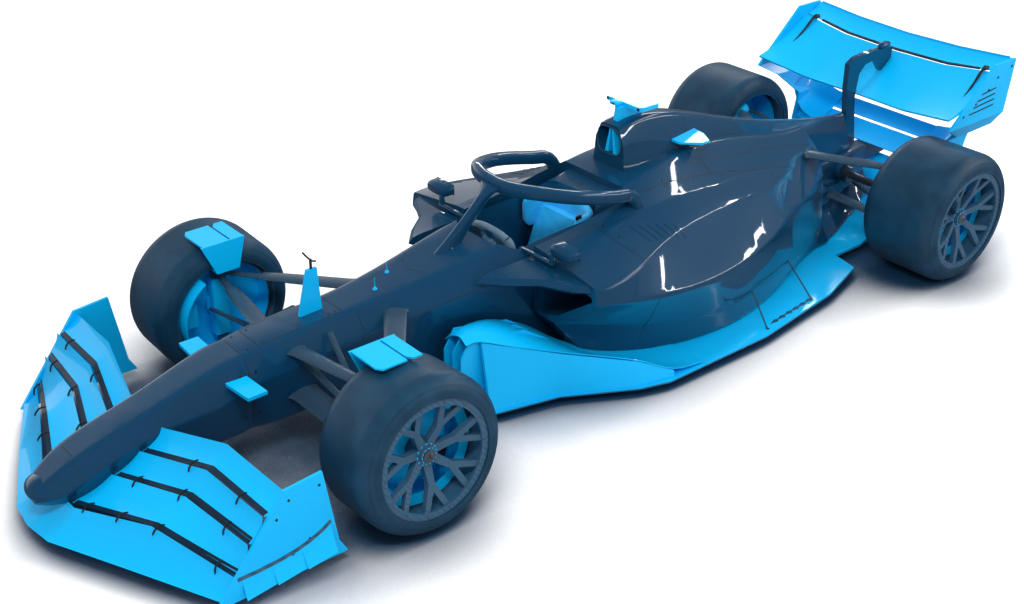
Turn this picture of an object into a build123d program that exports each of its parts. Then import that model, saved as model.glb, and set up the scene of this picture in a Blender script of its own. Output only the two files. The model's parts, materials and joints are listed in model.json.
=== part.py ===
"""Open wheel racing car: an assembly of bodywork, wings, suspension and wheels.

Frame: X to the car's left, Y towards its tail, Z up, millimetres.
The origin is on the ground at the middle of the car's length and width.
"""
from build123d import *
import math
import os

os.makedirs("parts", exist_ok=True)

# ---------------------------------------------------------------- driving dimensions
wheelbase = 3600.0
front_overhang = 1350.0          # front axle to the front wing's leading edge
rear_overhang = 670.0            # rear axle to the rear wing's trailing edge
front_track_half = 1015.0        # middle of the car to a front tyre's outer face, at the hub
rear_track_half = 1000.0
front_camber = 3.3               # degrees, top of the wheel leaning inwards
joint_gap = 0.3                  # left between pieces that are bolted or bonded together

# wheels and tyres
tyre_radius = 360.0
front_tyre_width = 372.0
rear_tyre_width = 460.0
tyre_shoulder = 82.0             # rounding between tread and sidewall
rim_radius = 272.0               # bead seat, where tyre and rim meet
rim_wall = 9.0                   # thickness of the rim's barrel
rim_inset = 8.0                  # rim edge inside the tyre's outer face
spoke_pairs = 7                  # Y-shaped spokes
spoke_split = 0.5                # where along the spoke the Y opens
spoke_width = 26.0
spoke_depth = 22.0
hub_radius = 52.0                # middle boss of the rim
hub_bore = 32.0                  # radius of the rim's bore
axle_radius = 31.95              # radius of the stub axle inside it
nut_radius = 40.0
nut_length = 34.0
nut_inset = 50.0                 # nut face inside the rim's edge

# front suspension and steering
kingpin_out = 285.0              # kingpin axis inboard of the front tyre's outer face
upright_width = 60.0
upright_height = 300.0
arm_thickness = 20.0
drum_wall = 6.0
drum_clearance = 12.0            # between drum and the inside of the rim

# floor and bodywork levels
plank_thickness = 12.0
floor_bottom = 45.0
floor_thickness = 15.0
floor_top = floor_bottom + floor_thickness
body_split = 265.0               # half width where sidepods meet the tub and the engine cover
tub_floor = floor_top + joint_gap  # underside of the tub and the bodywork

# front wing
wing_half_span = 905.0
wing_skin = 9.0                  # thickness of a wing element
slot_gap = 14.0                  # between one element and the next
endplate_thickness = 14.0

# rear wing
rear_wing_half_span = 680.0
rear_endplate_thickness = 16.0
pylon_thickness = 34.0

# halo and cockpit
halo_width = 62.0                # the hoop's band
halo_depth = 62.0
cockpit_half_width = 215.0
tub_wall = 28.0

# ---------------------------------------------------------------- stations along the car
overall_length = front_overhang + wheelbase + rear_overhang
y_nose = -overall_length / 2
y_front_axle = y_nose + front_overhang
y_rear_axle = y_front_axle + wheelbase


def front(distance):
    """Place along Y, measured backwards from the front axle."""
    return y_front_axle + distance


def rear(distance):
    """Place along Y, measured backwards from the rear axle."""
    return y_rear_axle + distance


# ---------------------------------------------------------------- helpers
def across(y):
    """Plane across the car at a station: its x is the car's X and its y is Z."""
    return Plane(origin=(0, y, 0), x_dir=(1, 0, 0), z_dir=(0, -1, 0))


def along(x):
    """Plane along the car at a half width: its x is the car's Y and its y is Z."""
    return Plane(origin=(x, 0, 0), x_dir=(0, 1, 0), z_dir=(1, 0, 0))


def ring(y, half_outline, radius):
    """A section across the car, from its right half's corners, mirrored and rounded."""
    left_half = [(-x, z) for x, z in reversed(half_outline)]
    with BuildSketch(across(y)) as section:
        with BuildLine():
            Polyline(*half_outline, *left_half, close=True)
        make_face()
        fillet(section.vertices(), radius)
    return section.sketch.face()


def outline(plane, corners, radius=0.0):
    """A closed outline on a plane, with every corner rounded where a radius is given."""
    with BuildSketch(plane) as section:
        with BuildLine():
            Polyline(*corners, close=True)
        make_face()
        if radius > 0:
            fillet(section.vertices(), radius)
    return section.sketch.face()


def blade(x, lead, trail, sag, thickness, tail=3.0):
    """A wing section at a half width, from its leading to its trailing edge (y, z).

    sag pushes its middle down from the straight line between the two edges.
    """
    chord_y = trail[0] - lead[0]
    chord_z = trail[1] - lead[1]
    chord = math.hypot(chord_y, chord_z)
    normal = (-chord_z / chord, chord_y / chord)
    belly = (lead[0] + 0.42 * chord_y, lead[1] + 0.42 * chord_z)
    nose_top = (lead[0] + normal[0] * thickness * 0.3, lead[1] + normal[1] * thickness * 0.3)
    nose_low = (lead[0] - normal[0] * thickness * 0.3, lead[1] - normal[1] * thickness * 0.3)
    tail_top = (trail[0] + normal[0] * tail / 2, trail[1] + normal[1] * tail / 2)
    tail_low = (trail[0] - normal[0] * tail / 2, trail[1] - normal[1] * tail / 2)
    top_mid = (
        belly[0] - normal[0] * (sag - thickness / 2),
        belly[1] - normal[1] * (sag - thickness / 2),
    )
    low_mid = (
        belly[0] - normal[0] * (sag + thickness / 2),
        belly[1] - normal[1] * (sag + thickness / 2),
    )
    with BuildSketch(along(x)) as section:
        with BuildLine():
            ThreePointArc(nose_top, top_mid, tail_top)
            Line(tail_top, tail_low)
            ThreePointArc(tail_low, low_mid, nose_low)
            Line(nose_low, nose_top)
        make_face()
    return section.sketch.face()


def save(piece, label):
    """Label a finished piece and write its STEP file."""
    piece.label = label
    export_step(piece, f"parts/{label}.step")


def mirrored(piece):
    """The same piece on the other side of the car."""
    return mirror(piece, about=Plane.YZ)


def save_pair(piece, label):
    """Write a left piece and its mirror image for the right side."""
    save(piece, f"{label}_left")
    save(mirrored(piece), f"{label}_right")


# ---------------------------------------------------------------- nose and tub
# section tables: station, half width at top, middle and bottom, height of top, middle, bottom, corner radius
nose_sections = [
    (front(-1312), 34, 62, 40, 252, 228, 206, 8),
    (front(-1225), 66, 112, 80, 322, 245, 186, 24),
    (front(-1000), 84, 132, 104, 412, 320, 186, 30),
    (front(-650), 92, 146, 120, 505, 390, 205, 32),
    (front(-340), 98, 156, 130, 572, 450, 212, 34),
]
tub_sections = [
    (front(-340 + joint_gap), 98, 156, 130, 572, 450, 212, 34),
    (front(60), 104, 170, 140, 602, 480, 204, 34),
    (front(560), 128, 216, 150, 644, 540, 150, 34),
    (front(1000), 178, body_split + 6, 200, 702, 590, 70, 34),
    (front(1400), 190, body_split + 12, 225, 732, 610, 56, 34),
    (front(1760), 196, body_split + 12, 225, 770, 640, 56, 34),
]


def body_ring(row, clearance=0.0):
    """Six-cornered section of the nose or the tub from a row of its table."""
    y, top_half, middle_half, bottom_half, z_top, z_middle, z_bottom, radius = row
    corners = [
        (bottom_half + clearance, z_bottom - clearance),
        (middle_half + clearance, z_middle),
        (top_half + clearance, z_top + clearance),
    ]
    return ring(y, corners, radius)


def body_form(rows, clearance=0.0):
    """A closed body through a table's sections, grown all round by a clearance."""
    with BuildPart(mode=Mode.PRIVATE) as form:
        loft(sections=[body_ring(row, clearance) for row in rows])
    return form.part


with BuildPart() as nose_cone:
    add(body_form(nose_sections))
save(nose_cone.part, "nose_cone")

column_bulkhead = front(880)     # rear face of the plate that carries the steering column
column_plate = 14.0
column_rake = math.radians(12)
column_length = 225.0            # from the steering wheel's face to the column's lower end
column_radius = 20.0
column_boss_radius = 30.0
column_boss_length = 40.0        # reaches into the plate
wheel_centre = Vector(0, front(1120), 620)
column_direction = Vector(0, -math.cos(column_rake), -math.sin(column_rake))
column_plane = Plane(origin=wheel_centre, x_dir=(1, 0, 0), z_dir=column_direction)
column_end = column_plane.offset(column_length + joint_gap)
cockpit_front = front(1000)
cockpit_rear = front(1650)
cockpit_floor = tub_floor + tub_wall
leg_room_front = front(120)

with BuildPart() as monocoque:
    loft(sections=[body_ring(row) for row in tub_sections])
    split(bisect_by=Plane.XY.offset(tub_floor), keep=Keep.TOP)
    split(bisect_by=Plane.YZ.offset(body_split), keep=Keep.BOTTOM)
    split(bisect_by=Plane.YZ.offset(-body_split), keep=Keep.TOP)
    inner_rings = []
    # legroom: station, half width, height of its roof and of its floor
    for y, half, z_top, z_bottom in (
        (leg_room_front, 112, 540, 250),
        (front(560), 150, 600, 190),
        (cockpit_front, cockpit_half_width, 655, cockpit_floor),
        (cockpit_rear, cockpit_half_width, 655, cockpit_floor),
    ):
        corners = [(half, z_bottom), (half, z_top)]
        inner_rings.append(ring(y, corners, 40))
    loft(sections=inner_rings, ruled=True, mode=Mode.SUBTRACT)
    with BuildSketch(Plane.XY.offset(500)):
        with Locations((0, (cockpit_front + cockpit_rear) / 2)):
            RectangleRounded(2 * cockpit_half_width, cockpit_rear - cockpit_front, 120)
    extrude(amount=400, mode=Mode.SUBTRACT)
    with BuildSketch(across(column_bulkhead)):
        with Locations((0, 600)):
            Rectangle(160, 110)
    extrude(amount=column_plate)
    with BuildSketch(column_end):
        Circle(column_boss_radius)
    extrude(amount=column_boss_length)
save(monocoque.part, "monocoque")

# ---------------------------------------------------------------- sidepods and engine cover
# corners of the right half of each section: floor line, undercut, ridge, shoulder, waist, top
bodywork_sections = [
    (front(1150), (330, tub_floor), (400, 330), (705, 560), (690, 640), (330, 690), (200, 700), 24),
    (front(1500), (470, tub_floor), (545, 270), (730, 492), (640, 640), (335, 718), (220, 745), 24),
    (front(1900), (600, tub_floor), (640, 215), (715, 448), (500, 648), (330, 724), (200, 830), 24),
    (front(2300), (610, tub_floor), (630, 200), (640, 440), (440, 640), (310, 700), (150, 850), 24),
    (rear(-800), (455, tub_floor), (480, 170), (470, 470), (340, 606), (250, 650), (110, 770), 24),
    (rear(-300), (340, tub_floor), (262, 170), (235, 450), (190, 562), (150, 606), (56, 684), 20),
]


def bodywork_ring(row, clearance=0.0):
    """Twelve-cornered section of the whole upper body from a row of its table."""
    y, floor_line, *corners, radius = row
    grown = [(x + clearance, z + clearance) for x, z in corners]
    return ring(y, [floor_line, *grown], radius)


def bodywork(clearance=0.0):
    """The whole upper body as one smooth form, to be cut into panels where they meet."""
    with BuildPart(mode=Mode.PRIVATE) as form:
        loft(sections=[bodywork_ring(row, clearance) for row in bodywork_sections])
    return form.part


inlet_front = bodywork_sections[0][0]
inlet_depth = 280.0
inlet_mouth = [(300, 352), (440, 398), (676, 566), (668, 588), (330, 606), (300, 580)]
# side view of what is cut away below the inlet, so that its lower lip overhangs the floor
undercut_wedge = [
    (inlet_front - 20, 348),
    (inlet_front, 348),
    (front(1400), tub_floor),
    (front(1400), tub_floor - 30),
    (inlet_front - 20, tub_floor - 30),
]
# the upper lip: station and its outer edge there, growing out of the tub's side
lip_edge = [
    (inlet_front + 30, 700),
    (front(1100), 625),
    (front(1017), 470),
    (front(900), 375),
    (front(800), 262),
]
lip_root = 200.0
lip_height = 612.0
lip_thickness = 40.0
with BuildPart() as sidepod_left:
    add(bodywork())
    lip_rings = []
    for y, outer in lip_edge:
        corners = [
            (lip_root, lip_height + lip_thickness),
            (outer - 30, lip_height + lip_thickness * 0.6),
            (outer, lip_height),
            (outer - 30, lip_height - lip_thickness * 0.4),
            (lip_root, lip_height - lip_thickness * 0.4),
        ]
        lip_rings.append(outline(across(y), corners))
    loft(sections=lip_rings, ruled=True)
    with BuildSketch(across(inlet_front - 1)):
        with BuildLine():
            Polyline(*inlet_mouth, close=True)
        mouth = make_face()
        fillet(mouth.vertices(), 16)
    extrude(amount=-inlet_depth, taper=6, mode=Mode.SUBTRACT)
    with BuildSketch(along(0)):
        with BuildLine():
            Polyline(*undercut_wedge, close=True)
        make_face()
    extrude(amount=900, mode=Mode.SUBTRACT)
    add(body_form(tub_sections, joint_gap), mode=Mode.SUBTRACT)
    split(bisect_by=Plane.YZ.offset(body_split + joint_gap), keep=Keep.TOP)
save_pair(sidepod_left.part, "sidepod")

cover_front = front(1760)
cover_tail = bodywork_sections[-1][0]
cover_rear = rear(110)
spine_front = front(1862)
gearbox_top = 450.0
spine_sections = [
    (spine_front, 62, 100, 122, 1044, 955, 700, 34),
    (front(2100), 58, 104, 145, 1056, 930, 690, 34),
    (front(2500), 34, 84, 135, 946, 810, 640, 24),
    (rear(-700), 22, 62, 120, 815, 720, 560, 14),
    (rear(-300), 18, 56, 112, 714, 640, gearbox_top + 4, 12),
    (rear(110), 14, 44, 84, 650, 570, gearbox_top + 4, 10),
]
airbox_width = 165.0
airbox_height = 138.0
airbox_middle = 958.0
airbox_depth = 200.0
power_half_width = 175
power_top = 520
power_front = front(1800)
power_rear = rear(-640)
with BuildPart() as engine_cover:
    add(bodywork())
    split(bisect_by=Plane.YZ.offset(body_split), keep=Keep.BOTTOM)
    split(bisect_by=Plane.YZ.offset(-body_split), keep=Keep.TOP)
    split(bisect_by=Plane.XZ.offset(-(cover_front + joint_gap)), keep=Keep.BOTTOM)
    loft(sections=[body_ring(row) for row in spine_sections])
    with BuildSketch(Plane.XY.offset(tub_floor - 10)):
        with Locations((0, (power_front + power_rear) / 2)):
            Rectangle(2 * power_half_width + 40, power_rear - power_front + 40)
    extrude(amount=power_top + 30 - tub_floor, mode=Mode.SUBTRACT)
    with BuildSketch(across(spine_front - 1)):
        with Locations((0, airbox_middle)):
            RectangleRounded(airbox_width, airbox_height, 56)
    extrude(amount=-airbox_depth, taper=6, mode=Mode.SUBTRACT)
    with BuildSketch(across(cover_tail)):
        with Locations((0, gearbox_top + 2 - 200)):
            Rectangle(2 * body_split, 400)
    extrude(amount=-(cover_rear - cover_tail), mode=Mode.SUBTRACT)
save(engine_cover.part, "engine_cover")

with BuildPart() as power_unit:
    with Locations((0, (power_front + power_rear) / 2, tub_floor)):
        Box(
            2 * power_half_width,
            power_rear - power_front,
            power_top - tub_floor,
            align=(Align.CENTER, Align.CENTER, Align.MIN),
        )
save(power_unit.part, "power_unit")

diffuser_kick = rear(-150)       # where the diffuser's roof starts to rise
diffuser_rear = rear(500)
diffuser_height = 310.0
gearbox_rear = rear(240)


def roof_height(y):
    """Height of the diffuser's roof at a station behind its kick."""
    return floor_top + (diffuser_height - floor_top) * (y - diffuser_kick) / (diffuser_rear - diffuser_kick)


# gearbox fairing: station, foot half width and height, waist half width and height, top half width
gearbox_sections = [
    (cover_tail + joint_gap, 320, tub_floor, 205, 220, 140),
    (diffuser_kick, 275, tub_floor, 165, 220, 122),
    (rear(100), 232, roof_height(rear(100)) + joint_gap, 132, 260, 112),
    (gearbox_rear, 150, roof_height(gearbox_rear) + joint_gap, 100, 300, 88),
]


def gearbox_form(clearance=0.0):
    """The gearbox in its fairing, its sides grown by a clearance."""
    with BuildPart(mode=Mode.PRIVATE) as form:
        rings = []
        for y, foot, foot_height, waist, waist_height, top in gearbox_sections:
            corners = [
                (foot + clearance, foot_height),
                (waist + clearance, waist_height),
                (top + clearance, gearbox_top + clearance),
            ]
            rings.append(ring(y, corners, 12))
        loft(sections=rings, ruled=True)
    return form.part


drive_boss_out = 156.0           # outer face of the boss that each driveshaft runs up to
drive_boss_radius = 62.0
with BuildPart() as gearbox:
    add(gearbox_form())
    with BuildSketch(along(0)):
        with Locations((y_rear_axle, tyre_radius)):
            Circle(drive_boss_radius)
    extrude(amount=drive_boss_out, both=True)
save(gearbox.part, "gearbox")


crash_rear = rear(612)
jack_pin_radius = 15.0
jack_pin_length = 45.0
jack_collar_radius = 24.0
jack_collar_out = 54.0           # outer face of the collar that each pin stands on
jack_pin_y = rear(570)          # behind the endplates, so a jack can reach the pins
jack_pin_height = 365.0
with BuildPart() as crash_structure:
    root = [(60, 310), (60, 420)]
    tip = [(36, 330), (36, 400)]
    loft(sections=[ring(gearbox_rear + joint_gap, root, 20), ring(crash_rear, tip, 20)], ruled=True)
    with BuildSketch(along(0)):
        with Locations((jack_pin_y, jack_pin_height)):
            Circle(jack_collar_radius)
    extrude(amount=jack_collar_out, both=True)
    with BuildSketch(along(0)):
        with Locations((jack_pin_y, jack_pin_height)):
            Circle(jack_pin_radius)
    extrude(amount=jack_collar_out + jack_pin_length, both=True)
save(crash_structure.part, "crash_structure")

# ---------------------------------------------------------------- floor
# outline of the floor's left half, from its front edge to the notch ahead of the rear tyre
floor_edge = [
    (250, front(600)),
    (430, front(640)),
    (498, front(706)),
    (578, front(1056)),
    (671, front(1227)),
    (764, front(1400)),
    (811, front(1560)),
    (806, front(2250)),
    (716, front(2849)),
    (600, front(3190)),
    (430, front(3230)),
    (330, front(3230)),
]
# side wall: station, bottom half width, crease half width and height
side_wall = [
    (front(708), 490, 420, 400),
    (front(1056), 570, 592, 290),
    (front(1400), 756, 738, 190),
    (front(1600), 800, 788, 92),
]
side_wall_thickness = 16
with BuildPart() as floor:
    with BuildSketch(Plane.XY.offset(floor_bottom)):
        with BuildLine():
            left = [(-x, y) for x, y in reversed(floor_edge)]
            Polyline(*floor_edge, *left, close=True)
        make_face()
    extrude(amount=floor_thickness)
    for side in (-1, 1):
        wall_sections = []
        for y, foot, crease, crease_height in side_wall:
            corners = [
                (side * foot, floor_bottom + 2),
                (side * crease, crease_height),
                (side * (crease - side_wall_thickness), crease_height),
                (side * (foot - side_wall_thickness), floor_bottom + 2),
            ]
            wall_sections.append(outline(across(y), corners))
        loft(sections=wall_sections, ruled=True)
save(floor.part, "floor")

with BuildPart() as plank:
    plank_front = front(1020)
    plank_rear = rear(-400)
    with BuildSketch(Plane.XY.offset(floor_bottom - joint_gap)):
        with Locations((0, (plank_front + plank_rear) / 2)):
            SlotOverall(plank_rear - plank_front, 300, rotation=90)
    extrude(amount=-plank_thickness)
save(plank.part, "plank")

# inlet fences: half width of each at its front and rear end
fence_feet = [(258, 318), (319, 379), (380, 440)]
fence_thickness = 8.0
fence_front = front(612)
fence_rear = front(1085)
fence_side = [
    (fence_front, floor_top + joint_gap),
    (fence_front, 330),
    (front(665), 428),
    (front(952), 388),
    (fence_rear, 300),
    (fence_rear, floor_top + joint_gap),
]
with BuildPart() as floor_fences:
    with BuildSketch(Plane.XY.offset(floor_top + joint_gap)):
        for foot_front, foot_rear in fence_feet:
            with BuildLine():
                Polyline(
                    (foot_front, fence_front),
                    (foot_front + fence_thickness, fence_front),
                    (foot_rear + fence_thickness, fence_rear),
                    (foot_rear, fence_rear),
                    close=True,
                )
            make_face()
    extrude(amount=450)
    with BuildSketch(along(0)):
        with BuildLine():
            Polyline(*fence_side, close=True)
        make_face()
    extrude(amount=500, mode=Mode.INTERSECT)
    mirror(about=Plane.YZ)
save(floor_fences.part, "floor_fences")

diffuser_front = front(3230) + joint_gap
diffuser_half = 430
diffuser_wall = 10
with BuildPart() as diffuser:
    for x_face in (-diffuser_half, -210, 210, diffuser_half):
        with BuildSketch(along(x_face - diffuser_wall / 2)):
            with BuildLine():
                Polyline(
                    (diffuser_front, floor_bottom),
                    (diffuser_rear, floor_bottom + 40),
                    (diffuser_rear, diffuser_height),
                    (diffuser_kick, floor_top),
                    (diffuser_front, floor_top),
                    close=True,
                )
            make_face()
        extrude(amount=diffuser_wall)
    with BuildSketch(along(-diffuser_half - diffuser_wall / 2)):
        with BuildLine():
            Polyline(
                (diffuser_front, floor_bottom),
                (diffuser_kick, floor_bottom),
                (diffuser_rear, diffuser_height - diffuser_wall),
                (diffuser_rear, diffuser_height),
                (diffuser_kick, floor_top),
                (diffuser_front, floor_top),
                close=True,
            )
        make_face()
    extrude(amount=2 * diffuser_half + diffuser_wall)
save(diffuser.part, "diffuser")

# ---------------------------------------------------------------- front wing
# per element: (half width, leading edge y, z), (trailing edge y, z) at each span station
wing_stations = [0, 150, 520, wing_half_span]
main_lead = [(front(-1345), 92), (front(-1325), 90), (front(-1155), 94), (front(-965), 80)]
main_trail = [(front(-1195), 196), (front(-1195), 200), (front(-1035), 250), (front(-895), 165)]
flap_trails = [
    [(front(-1010), 262), (front(-875), 318), (front(-828), 292)],
    [(front(-878), 322), (front(-772), 402), (front(-753), 388)],
    [(front(-766), 392), (front(-671), 484), (front(-642), 450)],
]
with BuildPart() as front_wing_main:
    half_sections = []
    for x, lead, trail in zip(wing_stations, main_lead, main_trail):
        half_sections.append(blade(x, lead, trail, 22, 16))
    loft(sections=half_sections, ruled=True)
    mirror(about=Plane.YZ)
    add(body_form(nose_sections, joint_gap), mode=Mode.SUBTRACT)
save(front_wing_main.part, "front_wing_main")

flap_root = 104                  # inner end of the flaps, cut to the nose's side
flap_lead_reference = main_trail[1:]
for number, trails in enumerate(flap_trails, start=1):
    with BuildPart() as flap:
        flap_sections = []
        for x, before, trail in zip((flap_root, 520, wing_half_span), flap_lead_reference, trails):
            lead = (before[0] + slot_gap, before[1] - slot_gap / 2)
            flap_sections.append(blade(x, lead, trail, 14, wing_skin))
        loft(sections=flap_sections, ruled=True)
        mirror(about=Plane.YZ)
        add(body_form(nose_sections, joint_gap), mode=Mode.SUBTRACT)
    save(flap.part, f"front_wing_flap_{number}")
    flap_lead_reference = trails

with BuildPart() as front_wing_endplate_left:
    plate_inner = wing_half_span + joint_gap
    with BuildSketch(along(plate_inner)):
        with BuildLine():
            Polyline(
                (front(-985), 58),
                (front(-660), 470),
                (front(-482), 485),
                (front(-424), 127),
                (front(-385), 58),
                close=True,
            )
        make_face()
    extrude(amount=endplate_thickness)
save_pair(front_wing_endplate_left.part, "front_wing_endplate")

# ---------------------------------------------------------------- halo, seat, mirrors, small fittings
halo_foot = (0, front(800), 640)
halo_crown = (0, front(1122), 936)
halo_side = [
    halo_crown,
    (180, front(1162), 940),
    (296, front(1365), 892),
    (312, front(1560), 842),
    (300, front(1730), 800),
    (300, front(1780), 700),
]
halo_corners = [(-0.5, -0.5), (-0.5, 0.2), (-0.25, 0.5), (0.25, 0.5), (0.5, 0.2), (0.5, -0.5), (0, -0.62)]
with BuildPart() as halo:
    with BuildLine() as hoop:
        FilletPolyline(*halo_side, radius=[110, 190, 190, 50])
    hoop_corners = [(halo_width * u, halo_depth * v) for u, v in halo_corners]
    hoop_plane = Plane(origin=halo_crown, x_dir=(0, 1, 0), z_dir=(1, 0.24, 0))
    sweep(sections=outline(hoop_plane, hoop_corners), path=hoop.wires()[0])
    mirror(about=Plane.YZ)
    pillar_rings = []
    for origin, half_width, half_length in ((halo_foot, 17, 66), (halo_crown, 26, 36)):
        corners = [(0, -half_length), (half_width, -0.2 * half_length), (0.6 * half_width, half_length)]
        corners = corners + [(-x, y) for x, y in reversed(corners[1:])]
        pillar_rings.append(outline(Plane(origin=origin, x_dir=(1, 0, 0), z_dir=(0, 0, 1)), corners))
    loft(sections=pillar_rings, ruled=True)
    add(body_form(tub_sections, joint_gap), mode=Mode.SUBTRACT)
    add(bodywork(joint_gap), mode=Mode.SUBTRACT)
save(halo.part, "halo")


# ---------------------------------------------------------------- seat and steering wheel
with BuildPart() as seat:
    seat_half = cockpit_half_width - 42
    with BuildSketch(along(-seat_half)):
        with BuildLine():
            Polyline(
                (cockpit_rear - joint_gap, cockpit_floor + joint_gap),
                (cockpit_rear - joint_gap, 640),
                (cockpit_rear - 90, 640),
                (cockpit_rear - 210, 300),
                (cockpit_front + 140, 220),
                (cockpit_front + 120, cockpit_floor + joint_gap),
                close=True,
            )
        make_face()
    extrude(amount=2 * seat_half)
save(seat.part, "seat")

with BuildPart() as steering_wheel:
    with BuildSketch(column_plane):
        RectangleRounded(270, 150, 50)
        with Locations((0, 45)):
            RectangleRounded(110, 60, 20, mode=Mode.SUBTRACT)
    extrude(amount=24)
    with BuildSketch(column_plane):
        Circle(column_radius)
    extrude(amount=column_length)
save(steering_wheel.part, "steering_wheel")

# ---------------------------------------------------------------- mirrors, camera pods, nose fin
mirror_out = 470.0               # middle of the mirror's shell
stay_height = 664.0
stay_front = front(1112)
stay_depth = 24.0
with BuildPart() as mirrors:
    with BuildSketch(across(front(1118))):
        with Locations((mirror_out, 737)):
            RectangleRounded(150, 62, 20)
    extrude(amount=-70)
    # the stay, square to the tub's side, and the post that carries the shell
    for bottom, top, inner, outer in (
        (stay_height, stay_height + 14, body_split - 120, mirror_out - 40),
        (stay_height, stay_height + 46, mirror_out - 66, mirror_out - 40),
    ):
        with BuildSketch(along(inner)):
            with BuildLine():
                Polyline(
                    (stay_front, bottom),
                    (stay_front, top),
                    (stay_front + stay_depth, top),
                    (stay_front + stay_depth, bottom),
                    close=True,
                )
            make_face()
        extrude(amount=outer - inner)
    mirror(about=Plane.YZ)
    add(body_form(tub_sections, joint_gap), mode=Mode.SUBTRACT)
save(mirrors.part, "mirrors")

camera_bar = 1120.0              # underside of the bar over the airbox
cover_winglet = 896.0            # underside of the winglets on the engine cover
with BuildPart() as camera_pods:
    with BuildSketch(Plane.XY.offset(480)):
        with BuildLine():
            Polyline((90, front(-352)), (90, front(-456)), (296, front(-440)), (296, front(-345)), close=True)
        make_face()
    extrude(amount=16)
    with BuildSketch(Plane.XY.offset(cover_winglet)):
        with BuildLine():
            Polyline(
                (60, front(2200)),
                (150, front(2205)),
                (232, front(2290)),
                (232, front(2340)),
                (150, front(2385)),
                (60, front(2400)),
                close=True,
            )
        make_face()
    extrude(amount=12)
    mirror(about=Plane.YZ)
    add(body_form(nose_sections, joint_gap), mode=Mode.SUBTRACT)
    with BuildSketch(along(-16)):
        with BuildLine():
            Polyline(
                (front(1890), 990),
                (front(1905), camera_bar + 4),
                (front(2060), camera_bar + 4),
                (front(2080), 990),
                close=True,
            )
        make_face()
    extrude(amount=32)
    with BuildSketch(Plane.XY.offset(camera_bar)):
        with Locations((0, front(2010))):
            RectangleRounded(256, 136, 24)
    extrude(amount=22)
    add(body_form(spine_sections, joint_gap), mode=Mode.SUBTRACT)
save(camera_pods.part, "camera_pods")

with BuildPart() as nose_fin:
    with BuildSketch(along(-8)):
        with BuildLine():
            Polyline((front(0), 570), (front(60), 815), (front(112), 815), (front(128), 570), close=True)
        make_face()
    extrude(amount=16)
    add(body_form(tub_sections, joint_gap), mode=Mode.SUBTRACT)
save(nose_fin.part, "nose_fin")

# ---------------------------------------------------------------- wheels
camber = math.radians(front_camber)
half_flat = front_tyre_width / 2 - tyre_shoulder
core_radius = tyre_radius - tyre_shoulder
middle_height = half_flat * math.sin(camber) + core_radius * math.cos(camber) + tyre_shoulder
front_hub_height = middle_height + front_tyre_width / 2 * math.sin(camber)
front_face = Vector(front_track_half, y_front_axle, front_hub_height)
front_inward = Vector(-math.cos(camber), 0, -math.sin(camber))
rear_face = Vector(rear_track_half, y_rear_axle, tyre_radius)
rear_inward = Vector(-1, 0, 0)
drum_radius = rim_radius - rim_wall - drum_clearance
hub_face = 70.0                  # rim's middle boss behind the tyre's outer face
hub_back = 150.0


def wheel_plane(face, inward):
    """Plane through a wheel's axis: its x runs inwards from the outer face, its y is the radius."""
    return Plane(origin=face, x_dir=inward, z_dir=(0, 1, 0))


def disc_plane(face, inward, depth):
    """Plane square to a wheel's axis, a depth behind the tyre's outer face."""
    return Plane(origin=face + inward * depth, x_dir=(0, 1, 0), z_dir=inward)


def spun(face, inward, corners):
    """A solid of revolution about a wheel's axis from (depth, radius) corners."""
    with BuildPart(mode=Mode.PRIVATE) as turned:
        with BuildSketch(wheel_plane(face, inward)):
            with BuildLine():
                Polyline(*corners, close=True)
            make_face()
        revolve(axis=Axis(face, inward))
    return turned.part


def tyre_solid(face, inward, width):
    """A slick tyre with round shoulders."""
    with BuildPart(mode=Mode.PRIVATE) as tyre:
        with BuildSketch(wheel_plane(face, inward)) as profile:
            with BuildLine():
                Polyline((0, rim_radius), (0, tyre_radius), (width, tyre_radius), (width, rim_radius), close=True)
            make_face()
            fillet(profile.vertices().group_by(Axis.Y)[-1], tyre_shoulder)
        revolve(axis=Axis(face, inward))
    return tyre.part


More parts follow.
